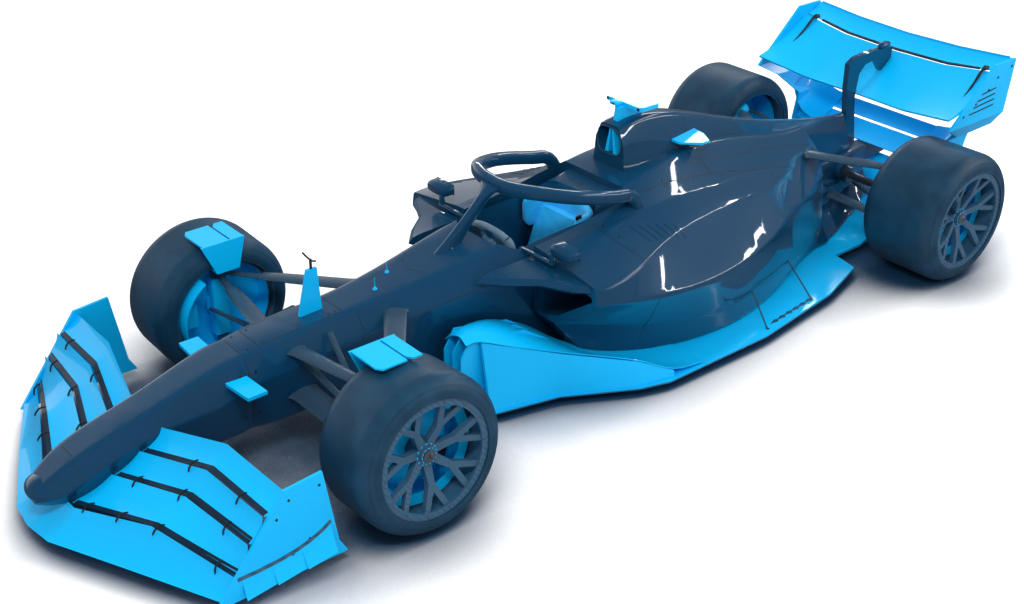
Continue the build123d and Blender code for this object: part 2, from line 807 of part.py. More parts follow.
def rim_solid(face, inward, width):
    """A rim with Y-shaped spokes cut from a dished disc, its barrel, hub and nut."""
    seat_radius = rim_radius - joint_gap
    inner_radius = seat_radius - rim_wall
    spoke_end = inner_radius + 3
    half_step = math.radians(180 / spoke_pairs / 2)
    split_radius = hub_radius + spoke_split * (spoke_end - hub_radius) * 0.75
    branch = Vector(math.sin(half_step) * spoke_end, math.cos(half_step) * spoke_end - split_radius).normalized()
    side = Vector(branch.Y, -branch.X) * (spoke_width / 2)
    tip = Vector(math.sin(half_step) * spoke_end, math.cos(half_step) * spoke_end)
    right_side = [
        (spoke_width * 0.8, hub_radius - 14),
        (spoke_width * 0.6, split_radius),
        (tip.X + side.X, tip.Y + side.Y),
        (tip.X - side.X, tip.Y - side.Y),
    ]
    left_side = [(-x, y) for x, y in reversed(right_side)]
    crotch = (0, split_radius + spoke_width * 1.3)
    with BuildSketch(mode=Mode.PRIVATE) as spoke:
        with BuildLine():
            Polyline(*right_side, crotch, *left_side, close=True)
        make_face()
    with BuildPart(mode=Mode.PRIVATE) as rim:
        with BuildSketch(disc_plane(face, inward, 0)):
            with PolarLocations(0, spoke_pairs):
                add(spoke.sketch)
        extrude(amount=140)
        dish = [
            (hub_face, 0),
            (hub_face, hub_radius),
            (rim_inset + 6, inner_radius),
            (rim_inset + 6 + spoke_depth, inner_radius),
            (hub_face + 34, hub_radius),
            (hub_face + 34, 0),
        ]
        add(spun(face, inward, dish), mode=Mode.INTERSECT)
        barrel = [
            (rim_inset, seat_radius),
            (rim_inset, inner_radius - 22),
            (rim_inset + 12, inner_radius - 22),
            (rim_inset + 24, inner_radius),
            (width - rim_inset, inner_radius),
            (width - rim_inset, seat_radius),
        ]
        add(spun(face, inward, barrel))
        hub = [
            (hub_face, hub_bore),
            (hub_face, hub_radius),
            (hub_back, hub_radius),
            (hub_back, hub_bore),
        ]
        add(spun(face, inward, hub))
        with BuildSketch(disc_plane(face, inward, hub_face)):
            Circle(nut_radius)
        extrude(amount=-nut_length / 2)
        with BuildSketch(disc_plane(face, inward, hub_face)):
            Circle(hub_bore)
        extrude(amount=hub_back - hub_face, mode=Mode.SUBTRACT)
    return rim.part


for end, face, inward, width in (
    ("front", front_face, front_inward, front_tyre_width),
    ("rear", rear_face, rear_inward, rear_tyre_width),
):
    save_pair(tyre_solid(face, inward, width), f"tyre_{end}")
    save_pair(rim_solid(face, inward, width), f"rim_{end}")

# ---------------------------------------------------------------- uprights, brake drums and driveshafts
drum_face = 112.0                # outer end of a drum behind the tyre's outer face
front_drum_back = front_tyre_width - 34  # inner end, clear of the arms at full lock
rear_drum_back = rear_tyre_width - 60  # lets the arms through to the body
drum_web = 232.0                 # the web that bolts the drum to the upright's spindle
spindle_radius = 46.0
front_pivot = front_face + front_inward * kingpin_out
rear_pivot = rear_face + rear_inward * 300
rear_bearing_back = 290.0


def drum_solid(face, inward, back):
    """A brake drum shell with its outer lip and the web that carries it."""
    inner = drum_radius - drum_wall
    web_bore = spindle_radius + joint_gap
    with BuildPart(mode=Mode.PRIVATE) as drum:
        shell = [
            (drum_face, drum_radius),
            (drum_face, drum_radius - 50),
            (drum_face + drum_wall, drum_radius - 50),
            (drum_face + drum_wall, inner),
            (drum_web, inner),
            (drum_web, web_bore),
            (drum_web + drum_wall, web_bore),
            (drum_web + drum_wall, inner),
            (back, inner),
            (back, drum_radius),
        ]
        add(spun(face, inward, shell))
    return drum.part


upright_face = kingpin_out - upright_width / 2
with BuildPart() as front_upright_left:
    spindle = [
        (hub_face + 4, 0),
        (hub_face + 4, axle_radius),
        (hub_back + 0.5, axle_radius),
        (hub_back + 0.5, spindle_radius),
        (drum_web + 12, spindle_radius),
        (upright_face, 60),
        (upright_face + 20, 60),
        (upright_face + 20, 0),
    ]
    add(spun(front_face, front_inward, spindle))
    with BuildSketch(Plane.XY.offset(front_pivot.Z - upright_height / 2)):
        with Locations((front_pivot.X, front_pivot.Y)):
            RectangleRounded(upright_width, 84, 14)
    extrude(amount=upright_height)
save_pair(front_upright_left.part, "front_upright")

# winglets over the inner shoulder of the front tyre: front and rear edge from the axle
winglet_edges = [(-119, 20), (30, 96)]
winglet_height = 738.0
winglet_inner = 598.0
winglet_outer = 802.0
winglet_thickness = 8.0
strip_height = 592.0             # the strip that carries them from the drum's top edge
scoop_front = -130.0             # the scoop ends here, ahead of the arms
scoop_depth = 78.0
with BuildPart() as front_drum_left:
    add(drum_solid(front_face, front_inward, front_drum_back))
    scoop = [
        (front_drum_back - 1, drum_radius - drum_wall),
        (front_drum_back + scoop_depth, drum_radius - drum_wall),
        (front_drum_back + scoop_depth, drum_radius),
        (front_drum_back - 1, drum_radius),
    ]
    with BuildPart(mode=Mode.PRIVATE) as scoop_shell:
        add(spun(front_face, front_inward, scoop))
        split(bisect_by=Plane.XZ.offset(-(y_front_axle + scoop_front)), keep=Keep.TOP)
    add(scoop_shell.part)
    with BuildSketch(along(winglet_inner)):
        with BuildLine():
            Polyline(
                (front(-130), winglet_height + winglet_thickness),
                (front(100), winglet_height + winglet_thickness),
                (front(60), strip_height),
                (front(-60), strip_height),
                close=True,
            )
        make_face()
    extrude(amount=winglet_thickness)
    with BuildSketch(Plane.XY.offset(strip_height)):
        with Locations(((winglet_inner + 684) / 2, y_front_axle)):
            Rectangle(684 - winglet_inner, 120)
    extrude(amount=12)
    for lead, trail in winglet_edges:
        with BuildSketch(Plane.XY.offset(winglet_height)):
            with BuildLine():
                Polyline(
                    (winglet_inner, front(lead)),
                    (winglet_outer - 30, front(lead)),
                    (winglet_outer, front(lead + 20)),
                    (winglet_outer, front(trail)),
                    (winglet_inner, front(trail)),
                    close=True,
                )
            make_face()
        extrude(amount=winglet_thickness)
save_pair(front_drum_left.part, "front_brake_drum")

with BuildPart() as rear_uprights:
    with BuildSketch(along(rear_pivot.X - upright_width / 2)):
        with Locations((rear_pivot.Y, rear_pivot.Z)):
            RectangleRounded(110, upright_height, 20)
    extrude(amount=upright_width)
    bearing = [
        (drum_web - 20, 0),
        (drum_web - 20, spindle_radius),
        (rear_bearing_back, spindle_radius),
        (rear_bearing_back, 0),
    ]
    add(spun(rear_face, rear_inward, bearing))
    bore = [(drum_web - 21, 0), (drum_web - 21, hub_bore), (340, hub_bore), (340, 0)]
    add(spun(rear_face, rear_inward, bore), mode=Mode.SUBTRACT)
    mirror(about=Plane.YZ)
save(rear_uprights.part, "rear_uprights")

with BuildPart() as rear_brake_drums:
    add(drum_solid(rear_face, rear_inward, rear_drum_back))
    mirror(about=Plane.YZ)
save(rear_brake_drums.part, "rear_brake_drums")

shaft_radius = 22.0
flange_radius = 48.0
flange_width = 44.0
shaft_end = rear_track_half - drive_boss_out - joint_gap
with BuildPart() as driveshaft_left:
    shaft = [
        (hub_face + 4, 0),
        (hub_face + 4, axle_radius),
        (330, axle_radius),
        (330, shaft_radius),
        (shaft_end - flange_width, shaft_radius),
        (shaft_end - flange_width, flange_radius),
        (shaft_end, flange_radius),
        (shaft_end, 0),
    ]
    add(spun(rear_face, rear_inward, shaft))
save_pair(driveshaft_left.part, "driveshaft")

# ---------------------------------------------------------------- suspension arms
pod_radius = 27.0                # ball joint housing above or below an upright
pod_height = 50.0
arm_end_chord = 34.0
arm_end_thickness = 18.0


def arm(start, end, chord, thickness):
    """A streamlined arm that narrows to its ball joint, its section's long axis along the car."""
    start = Vector(*start)
    end = Vector(*end)
    direction = (end - start).normalized()
    lengthwise = (Vector(0, 1, 0) - direction * direction.Y).normalized()
    profiles = []
    for origin, wide, deep in ((start, chord, thickness), (end, arm_end_chord, arm_end_thickness)):
        corners = [
            (-0.5 * wide, 0),
            (-0.25 * wide, 0.5 * deep),
            (0.1 * wide, 0.5 * deep),
            (0.5 * wide, 0),
            (0.1 * wide, -0.5 * deep),
            (-0.25 * wide, -0.5 * deep),
        ]
        profiles.append(outline(Plane(origin=origin, x_dir=lengthwise, z_dir=direction), corners))
    with BuildPart(mode=Mode.PRIVATE) as bar:
        loft(sections=profiles, ruled=True)
    return bar.part


def wishbone(pivot, above, inner_ends):
    """Two arms from the body to one ball joint housing over or under an upright."""
    reach = upright_height / 2 + joint_gap
    pod_bottom = pivot.Z + reach if above else pivot.Z - reach - pod_height
    ball = (pivot.X, pivot.Y, pod_bottom + pod_height / 2)
    with BuildPart(mode=Mode.PRIVATE) as bone:
        with BuildSketch(Plane.XY.offset(pod_bottom)):
            with Locations((pivot.X, pivot.Y)):
                Circle(pod_radius)
        extrude(amount=pod_height)
        for inner, chord in inner_ends:
            add(arm(inner, ball, chord, arm_thickness))
    return bone.part


# inner ends (x, y, z) of the arms and their chords there
front_upper_ends = [((165, front(-93), 530), 64), ((180, front(400), 560), 76)]
front_lower_ends = [((160, front(-90), 330), 100), ((180, front(400), 300), 60)]
rear_upper_ends = [((165, rear(-430), 600), 64), ((90, rear(120), 400), 60)]
rear_lower_ends = [((110, rear(-110), 262), 64), ((95, rear(110), 300), 50)]
# the pushrod and the track rod of the front axle, from the tub to the wheel
front_links = [
    ((150, front(70), 566), (655, front(-8), 204), 30),
    ((140, front(-66), 470), (668, front(-76), 384), 28),
]
with BuildPart() as front_wishbones:
    add(wishbone(front_pivot, True, front_upper_ends))
    add(wishbone(front_pivot, False, front_lower_ends))
    for inner, outer, chord in front_links:
        add(arm(inner, outer, chord, 16))
    mirror(about=Plane.YZ)
    add(body_form(tub_sections, joint_gap), mode=Mode.SUBTRACT)
save(front_wishbones.part, "front_wishbones")

with BuildPart() as rear_wishbones:
    add(wishbone(rear_pivot, True, rear_upper_ends))
    add(wishbone(rear_pivot, False, rear_lower_ends))
    mirror(about=Plane.YZ)
    add(gearbox_form(joint_gap), mode=Mode.SUBTRACT)
    add(bodywork(joint_gap), mode=Mode.SUBTRACT)
save(rear_wishbones.part, "rear_wishbones")

# ---------------------------------------------------------------- rear wing
rear_wing_stations = [0, 350, rear_wing_half_span]
rear_main_lead = [(rear(210), 745), (rear(190), 750), (rear(140), 800)]
rear_main_trail = [(rear(512), 938), (rear(517), 945), (rear(540), 982)]
rear_flap_trail = [(rear(640), 1012), (rear(645), 1020), (rear(668), 1037)]
rear_main_sag = 26
rear_main_thickness = 20


def rear_main_form(clearance=0.0):
    """The rear wing's main element, thickened by a clearance on both faces."""
    with BuildPart(mode=Mode.PRIVATE) as element:
        wing_rings = []
        for x, lead, trail in zip(rear_wing_stations, rear_main_lead, rear_main_trail):
            wing_rings.append(blade(x, lead, trail, rear_main_sag, rear_main_thickness + 2 * clearance))
        loft(sections=wing_rings, ruled=True)
        mirror(about=Plane.YZ)
    return element.part


with BuildPart() as rear_wing_main:
    add(rear_main_form())
save(rear_wing_main.part, "rear_wing_main")

flap_side_gap = 6.0
flap_hinge = (rear(636), 1006)   # the flap opens about this line, near its trailing edge
flap_pin = 7.0
flap_half_span = rear_wing_half_span - flap_side_gap
with BuildPart() as rear_wing_flap:
    flap_rings = []
    for x, before, trail in zip((0, 350, flap_half_span), rear_main_trail, rear_flap_trail):
        lead = (before[0] + slot_gap, before[1] + 4)
        flap_rings.append(blade(x, lead, trail, 10, wing_skin))
    loft(sections=flap_rings, ruled=True)
    with BuildSketch(along(flap_half_span - 12)):
        with Locations(flap_hinge):
            Circle(flap_pin)
    extrude(amount=12 + flap_side_gap)
    mirror(about=Plane.YZ)
save(rear_wing_flap.part, "rear_wing_flap")

# endplate: height, middle of its thickness, front and rear edge
beam_top = 570
beam_bottom = 410
endplate_root = 520
endplate_sections = [
    (1042, rear_wing_half_span + joint_gap + rear_endplate_thickness / 2, rear(480), rear(669)),
    (740, rear_wing_half_span + joint_gap + rear_endplate_thickness / 2, rear(150), rear(635)),
    (660, 640, rear(290), rear(610)),
    (beam_top, endplate_root, rear(350), rear(590)),
    (beam_bottom, endplate_root, rear(318), rear(528)),
    (diffuser_height + joint_gap, diffuser_half, rear(400), rear(500)),
]
with BuildPart() as rear_wing_endplates:
    plate_rings = []
    for z, x, y_lead, y_trail in endplate_sections:
        half = rear_endplate_thickness / 2
        corners = [(x - half, y_lead), (x + half, y_lead), (x + half, y_trail), (x - half, y_trail)]
        plate_rings.append(outline(Plane.XY.offset(z), corners))
    loft(sections=plate_rings, ruled=True)
    mirror(about=Plane.YZ)
save(rear_wing_endplates.part, "rear_wing_endplates")

# beam wing elements: leading and trailing edge
beam_elements = [((rear(330), 424), (rear(468), 490)), ((rear(482), 500), (rear(566), 560))]
with BuildPart() as beam_wing:
    beam_end = endplate_root - rear_endplate_thickness / 2 - joint_gap
    for lead, trail in beam_elements:
        beam_rings = []
        for x in (0, beam_end):
            beam_rings.append(blade(x, lead, trail, 10, 12))
        loft(sections=beam_rings, ruled=True)
    mirror(about=Plane.YZ)
save(beam_wing.part, "beam_wing")


def main_middle_height(y):
    """Height of the main element's middle line at the middle of the car."""
    (lead_y, lead_z), (trail_y, trail_z) = rear_main_lead[0], rear_main_trail[0]
    along_chord = (y - lead_y) / (trail_y - lead_y)
    straight = lead_z + (trail_z - lead_z) * along_chord
    return straight - 4 * rear_main_sag * along_chord * (1 - along_chord)


# the pylon rises behind the cover's tail, arches over the main element and lands near its rear edge
pylon_foot = [(rear(140), gearbox_top + joint_gap), (gearbox_rear - 4, gearbox_top + joint_gap)]
pylon_back = [(rear(204), 620), (rear(186), 740), (rear(200), 868), (rear(245), 915), (rear(330), 926)]
pylon_seat = [(y, main_middle_height(y)) for y in (rear(400), rear(440), rear(476))]
pylon_top = [(rear(479), 972), (rear(303), 984), (rear(150), 973), (rear(100), 944), (rear(104), 800), (rear(126), 640)]
with BuildPart() as rear_wing_pylon:
    with BuildSketch(along(-pylon_thickness / 2)):
        with BuildLine():
            Polyline(*pylon_foot, *pylon_back, *pylon_seat, *pylon_top, close=True)
        make_face()
    extrude(amount=pylon_thickness)
    add(rear_main_form(joint_gap), mode=Mode.SUBTRACT)
save(rear_wing_pylon.part, "rear_wing_pylon")

with BuildPart() as exhaust:
    with BuildSketch(across(cover_rear + joint_gap)):
        with Locations((0, 520)):
            Circle(40)
            Circle(35, mode=Mode.SUBTRACT)
    extrude(amount=-18)
save(exhaust.part, "exhaust")
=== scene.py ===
"""Dresses the open wheel racing car: finishes, fittings, fasteners and a small studio.

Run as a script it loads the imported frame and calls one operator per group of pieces.
"""
import json
import math

import bmesh
import bpy
from bpy.props import FloatProperty, FloatVectorProperty, IntProperty, PointerProperty
from mathutils import Matrix, Vector
from mathutils.bvhtree import BVHTree


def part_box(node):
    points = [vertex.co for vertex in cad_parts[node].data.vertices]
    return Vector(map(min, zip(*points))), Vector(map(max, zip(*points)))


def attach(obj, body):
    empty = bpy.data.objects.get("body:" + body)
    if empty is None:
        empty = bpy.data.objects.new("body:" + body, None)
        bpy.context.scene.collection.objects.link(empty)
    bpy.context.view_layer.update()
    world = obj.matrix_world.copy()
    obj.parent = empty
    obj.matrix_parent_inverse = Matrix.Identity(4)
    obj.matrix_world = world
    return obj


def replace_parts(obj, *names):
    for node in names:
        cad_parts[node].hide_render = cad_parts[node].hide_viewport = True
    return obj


bl_info = {
    "name": "Open Wheel Racing Car Dressing",
    "version": (1, 0, 0),
    "blender": (4, 5, 0),
    "location": "View3D > Sidebar > Racing Car",
    "description": "Finishes, fittings and studio for an open wheel racing car",
    "category": "Object",
}

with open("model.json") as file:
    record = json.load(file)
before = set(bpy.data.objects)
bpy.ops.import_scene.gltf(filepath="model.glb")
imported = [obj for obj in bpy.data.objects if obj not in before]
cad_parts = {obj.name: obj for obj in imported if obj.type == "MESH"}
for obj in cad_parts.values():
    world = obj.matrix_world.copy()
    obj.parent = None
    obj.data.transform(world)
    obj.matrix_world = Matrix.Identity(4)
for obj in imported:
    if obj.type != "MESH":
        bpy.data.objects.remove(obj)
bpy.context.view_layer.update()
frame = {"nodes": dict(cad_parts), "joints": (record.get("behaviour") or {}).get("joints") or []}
MM = 0.001
FRONT_AXLE = -1.460
REAR_AXLE = 2.140
CAMERA_PLACE = (4.914, -4.352, 3.740)
CAMERA_AZIMUTH = 51.55
CAMERA_ELEVATION = 30.51
SIDES = (1, -1)
NAMED_SIDES = ((1, "left"), (-1, "right"))
DOWN = (0, 0, -1)
at = Matrix.Translation


def colour_setting(name, description, value):
    """A colour the user can change."""
    return FloatVectorProperty(
        name=name, description=description, subtype="COLOR", size=3, min=0, max=1, default=value
    )


def length_setting(name, description, value):
    """A length in metres the user can change."""
    return FloatProperty(name=name, description=description, default=value, min=0, unit="LENGTH")


def share_setting(name, description, value):
    """A strength between none and full that the user can change."""
    return FloatProperty(
        name=name, description=description, default=value, min=0, max=1, subtype="FACTOR"
    )


class CarPaintSettings(bpy.types.PropertyGroup):
    """Colours of the car's finishes."""

    body: colour_setting("Body", "Main body paint", (0.0005, 0.037, 0.092))
    accent: colour_setting("Accent", "Wing and floor paint", (0.001, 0.46, 0.98))
    rubber: colour_setting("Rubber", "Tyre compound", (0.002, 0.034, 0.074))
    carbon: colour_setting("Carbon", "Lighter tow of the weave", (0.050, 0.140, 0.250))
    alloy: colour_setting("Alloy", "Bare turned metal", (0.42, 0.44, 0.47))
    floor: colour_setting("Studio floor", "Floor under the car", (0.80, 0.81, 0.83))


class CarFittingSettings(bpy.types.PropertyGroup):
    """Sizes of the fittings."""

    weave_pitch: length_setting("Weave pitch", "Width of a carbon tow", 0.006)
    seam_width: length_setting("Seam width", "Gap between body panels", 0.003)
    bolt_radius: length_setting("Bolt radius", "Panel fasteners", 0.006)
    bracket_height: length_setting("Bracket height", "Slot separators above the wing", 0.014)
    nut_marks: IntProperty(name="Nut marks", description="Pointers on a wheel nut", default=12, min=3)


class CarStudioSettings(bpy.types.PropertyGroup):
    """Camera and lamps."""

    lens: FloatProperty(name="Lens", description="Focal length", default=51.34, min=10, unit="CAMERA")
    shift_x: FloatProperty(name="Shift X", description="Sideways lens shift", default=0.0348)
    shift_y: FloatProperty(name="Shift Y", description="Upward lens shift", default=0.050)
    roll: FloatProperty(
        name="Roll", description="Camera roll", default=math.radians(-0.24), subtype="ANGLE"
    )
    fill: share_setting("Fill", "Sky's light on the car", 0.70)
    horizon: share_setting("Horizon", "Mirrored sky at the horizon", 0.20)
    zenith: share_setting("Zenith", "Mirrored sky overhead", 0.07)


def paint():
    """The scene's colours."""
    return bpy.context.scene.car_paint


def fitting():
    """The scene's fitting sizes."""
    return bpy.context.scene.car_fitting


# ---------------------------------------------------------------- finishes
finishes = {}
RANGE_SOCKETS = ("From Min", "From Max", "To Min", "To Max")


class Finish:
    """A node tree under construction, with short ways to add what the finishes share."""

    def __init__(self, name, colour, roughness, metallic=0.0):
        self.material = bpy.data.materials.new(name)
        self.material.use_nodes = True
        self.tree = self.material.node_tree
        self.shader = self.tree.nodes["Principled BSDF"]
        self.place = self.tree.nodes.new("ShaderNodeTexCoord").outputs["Object"]
        self.colour = (*colour, 1.0)
        self.shader.inputs["Base Color"].default_value = self.colour
        self.shader.inputs["Roughness"].default_value = roughness
        self.shader.inputs["Metallic"].default_value = metallic
        self.material.diffuse_color = self.colour
        finishes[name] = self.material

    def noise(self, scale, detail=3.0, stretch=None):
        """Noise on the object's own coordinates, in metres, optionally stretched."""
        node = self.tree.nodes.new("ShaderNodeTexNoise")
        node.inputs["Scale"].default_value = scale
        node.inputs["Detail"].default_value = detail
        source = self.place
        if stretch:
            mapping = self.tree.nodes.new("ShaderNodeMapping")
            mapping.inputs["Scale"].default_value = stretch
            self.tree.links.new(self.place, mapping.inputs["Vector"])
            source = mapping.outputs["Vector"]
        self.tree.links.new(source, node.inputs["Vector"])
        return node.outputs["Fac"]

    def ramp(self, value, stops):
        """A colour ramp over a value; stops are (position, colour)."""
        node = self.tree.nodes.new("ShaderNodeValToRGB")
        for number, (position, colour) in enumerate(stops):
            points = node.color_ramp.elements
            point = points[number] if number < 2 else points.new(position)
            point.position = position
            point.color = (*colour, 1.0)
        self.tree.links.new(value, node.inputs["Fac"])
        return node.outputs["Color"]

    def span(self, value, low, high, start=0.0, end=1.0):
        """A value moved from the range start to end into the range low to high."""
        node = self.tree.nodes.new("ShaderNodeMapRange")
        for socket, number in zip(RANGE_SOCKETS, (start, end, low, high)):
            node.inputs[socket].default_value = number
        self.tree.links.new(value, node.inputs["Value"])
        return node.outputs["Result"]

    def use(self, socket, value):
        """Link a value to one of the shader's sockets."""
        self.tree.links.new(value, self.shader.inputs[socket])

    def bump(self, value, strength, distance=0.001):
        """Surface relief from a value, added to any relief that is there."""
        node = self.tree.nodes.new("ShaderNodeBump")
        node.inputs["Strength"].default_value = strength
        node.inputs["Distance"].default_value = distance
        self.tree.links.new(value, node.inputs["Height"])
        normal = self.shader.inputs["Normal"]
        if normal.is_linked:
            self.tree.links.new(normal.links[0].from_socket, node.inputs["Normal"])
        self.tree.links.new(node.outputs["Normal"], normal)

    def coat(self, weight, roughness):
        """Clear lacquer."""
        self.shader.inputs["Coat Weight"].default_value = weight
        self.shader.inputs["Coat Roughness"].default_value = roughness


def lacquer(name, colour, fleck, grain=1400.0, roughness=0.32, coat_roughness=0.035, coat=1.0):
    """Metallic paint under lacquer: fine flecks, soft clouding and a little orange peel."""
    finish = Finish(name, colour, roughness)
    dark = tuple(c * 0.82 for c in colour)
    flecks = finish.ramp(finish.noise(grain, 1.0), [(0.36, dark), (0.5, colour), (0.68, fleck)])
    finish.use("Base Color", flecks)
    finish.use("Roughness", finish.span(finish.noise(7.0), roughness - 0.05, roughness + 0.10))
    finish.bump(finish.noise(260.0, 1.0), 0.02, 0.0005)
    finish.shader.inputs["Specular IOR Level"].default_value = 0.15
    finish.coat(coat, coat_roughness)
    return finish


def woven(name, light, pitch, roughness=0.34, coat=0.6, depth=0.42):
    """Carbon cloth: two tows crossing at right angles, each shining its own way."""
    dark = tuple(c * depth for c in light)
    finish = Finish(name, light, roughness)
    mapping = finish.tree.nodes.new("ShaderNodeMapping")
    mapping.inputs["Rotation"].default_value = (math.radians(35), math.radians(45), math.radians(45))
    checks = finish.tree.nodes.new("ShaderNodeTexChecker")
    checks.inputs["Scale"].default_value = 1.0 / pitch
    checks.inputs["Color1"].default_value = (*light, 1.0)
    checks.inputs["Color2"].default_value = (*dark, 1.0)
    finish.tree.links.new(finish.place, mapping.inputs["Vector"])
    finish.tree.links.new(mapping.outputs["Vector"], checks.inputs["Vector"])
    finish.use("Base Color", checks.outputs["Color"])
    finish.use("Roughness", finish.span(checks.outputs["Fac"], roughness - 0.08, roughness + 0.12))
    finish.bump(checks.outputs["Fac"], 0.12, 0.0004)
    finish.coat(coat, 0.12)
    return finish


def turned(name, colour, roughness):
    """Bare metal with fine machining marks."""
    finish = Finish(name, colour, roughness, 1.0)
    marks = finish.noise(320.0, 2.0)
    finish.use("Roughness", finish.span(marks, roughness - 0.06, roughness + 0.14))
    finish.bump(marks, 0.06, 0.0003)
    return finish


def moulded(name, colour, roughness, relief=0.25, grain=700.0):
    """Rubber or plastic with a matt grain and a faint bloom."""
    finish = Finish(name, colour, roughness)
    bloom = tuple(min(1.0, c * 1.5 + 0.004) for c in colour)
    finish.use("Base Color", finish.ramp(finish.noise(9.0, 4.0), [(0.35, colour), (0.75, bloom)]))
    finish.use("Roughness", finish.span(finish.noise(30.0), roughness - 0.05, roughness + 0.08))
    finish.bump(finish.noise(grain, 2.0), relief, 0.0003)
    return finish


def quilted(name, colour):
    """Knitted cover cloth: a fine rib each way and a slight sheen."""
    finish = Finish(name, colour, 0.62)
    worn = tuple(min(1.0, c * 1.25 + 0.01) for c in colour)
    finish.use("Base Color", finish.ramp(finish.noise(18.0, 3.0), [(0.35, colour), (0.8, worn)]))
    finish.shader.inputs["Sheen Weight"].default_value = 0.25
    finish.bump(finish.noise(900.0, 1.0, (1.0, 0.25, 1.0)), 0.3, 0.0004)
    finish.bump(finish.noise(900.0, 1.0, (0.25, 1.0, 0.25)), 0.3, 0.0004)
    return finish


def make_finishes():
    """Make every finish once, under the name the pieces ask for."""
    colours = paint()
    body, accent = tuple(colours.body), tuple(colours.accent)
    lacquer("body_paint", body, tuple(min(1, c * 1.7 + 0.01) for c in body))
    lacquer("accent_paint", accent, (0.0, 0.60, 1.0), 900.0, 0.42, coat_roughness=0.09, coat=0.5)
    woven("carbon_cloth", tuple(colours.carbon), fitting().weave_pitch)
    woven("carbon_rim", tuple(c * 0.8 for c in colours.carbon), fitting().weave_pitch * 0.4, depth=0.7)
    woven("carbon_dark", tuple(c * 0.55 for c in colours.carbon), fitting().weave_pitch, 0.42, 0.35)
    moulded("tyre_rubber", tuple(colours.rubber), 0.46, 0.18)
    moulded("black_plastic", (0.012, 0.015, 0.019), 0.45)
    moulded("grip_rubber", (0.10, 0.17, 0.24), 0.45, 0.4, 420.0)
    # dark navy for strips that stand for the shade inside wing slots: painted shade
    moulded("slot_shade_navy", (0.001, 0.016, 0.040), 0.45, 0.2)
    moulded("red_glass", (0.25, 0.004, 0.004), 0.25, 0.05)
    moulded("dark_glass", (0.006, 0.01, 0.016), 0.12, 0.02)
    quilted("accent_fabric", tuple(c * 0.85 for c in accent))
    turned("mirror_glass", (0.62, 0.68, 0.74), 0.05)
    turned("alloy", tuple(colours.alloy), 0.30)
    turned("dark_alloy", tuple(c * 0.22 for c in colours.alloy), 0.36)
    turned("steel", (0.30, 0.31, 0.33), 0.28)
    turned("heat_steel", (0.36, 0.27, 0.20), 0.34)


CAD_FINISH = {
    "body_paint": (
        "nose_cone monocoque sidepod_left sidepod_right engine_cover halo mirrors rear_wing_pylon "
        "gearbox"
    ),
    "accent_paint": (
        "front_wing_main front_wing_flap_1 front_wing_flap_2 front_wing_flap_3 front_wing_endplate_left "
        "front_wing_endplate_right floor floor_fences diffuser nose_fin camera_pods rear_wing_main "
        "rear_wing_flap rear_wing_endplates beam_wing front_upright_left front_upright_right "
        "front_brake_drum_left front_brake_drum_right rear_brake_drums"
    ),
    "carbon_rim": "rim_front_left rim_front_right rim_rear_left rim_rear_right steering_wheel",
    "carbon_dark": "front_wishbones rear_wishbones crash_structure plank",
    "tyre_rubber": "tyre_front_left tyre_front_right tyre_rear_left tyre_rear_right",
    "accent_fabric": "seat",
    "dark_alloy": "rear_uprights power_unit",
    "steel": "driveshaft_left driveshaft_right",
    "heat_steel": "exhaust",
}


# ---------------------------------------------------------------- shaping helpers
trees = {}


def tree_of(node):
    """Search tree of a CAD node's faces."""
    if node not in trees:
        trees[node] = BVHTree.FromObject(frame["nodes"][node], bpy.context.evaluated_depsgraph_get())
    return trees[node]


def hit(nodes, start, direction):
    """Nearest point and normal where a ray meets the CAD nodes."""
    best = None
    for node in nodes.split():
        place, normal, _, distance = tree_of(node).ray_cast(Vector(start), Vector(direction))
        if place is not None and (best is None or distance < best[2]):
            best = (place, normal, distance)
    return best


def once(items):
    """Items in the order they first come, each once."""
    return list(dict.fromkeys(items))


def link(bm, name, finish, body="chassis", sharp=32.0):
    """Turn a bmesh into a finished piece that rides on a body, with edges sharp past an angle."""
    bmesh.ops.recalc_face_normals(bm, faces=bm.faces)
    mesh = bpy.data.meshes.new(name)
    bm.to_mesh(mesh)
    bm.free()
    mesh.shade_smooth()
    mesh.set_sharp_from_angle(angle=math.radians(sharp))
    mesh.materials.append(finishes[finish])
    piece = bpy.data.objects.new(name, mesh)
    bpy.context.scene.collection.objects.link(piece)
    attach(piece, body)
    return piece


def look_along(place, direction, up=(0, 0, 1)):
    """Matrix that stands Z along a direction at a place, with Y as near up as it can be."""
    z = Vector(direction).normalized()
    x = Vector(up).cross(z)
    if x.length < 1e-4:
        x = Vector((1, 0, 0)).cross(z)
    x.normalize()
    y = z.cross(x)
    matrix = Matrix((x, y, z)).transposed().to_4x4()
    matrix.translation = Vector(place)
    return matrix


def outline(bm, points):
    """A closed loop of edges through a few points in the XY plane."""
    verts = [bm.verts.new((*point, 0.0) if len(point) == 2 else point) for point in points]
    return [bm.edges.new((a, b)) for a, b in zip(verts, verts[1:] + verts[:1])]


def sweep(bm, loop, stations):
    """Extrude a closed loop of edges through a list of matrices and close both ends."""
    verts = once(v for e in loop for v in e.verts)
    bmesh.ops.transform(bm, matrix=stations[0], verts=verts)
    first = loop
    for before, after in zip(stations, stations[1:]):
        grown = bmesh.ops.extrude_edge_only(bm, edges=loop)["geom"]
        verts = [g for g in grown if isinstance(g, bmesh.types.BMVert)]
        fresh = set(verts)
        loop = [g for g in grown if isinstance(g, bmesh.types.BMEdge) and set(g.verts) <= fresh]
        bmesh.ops.transform(bm, matrix=after @ before.inverted(), verts=verts)
    bmesh.ops.holes_fill(bm, edges=first + loop, sides=0)


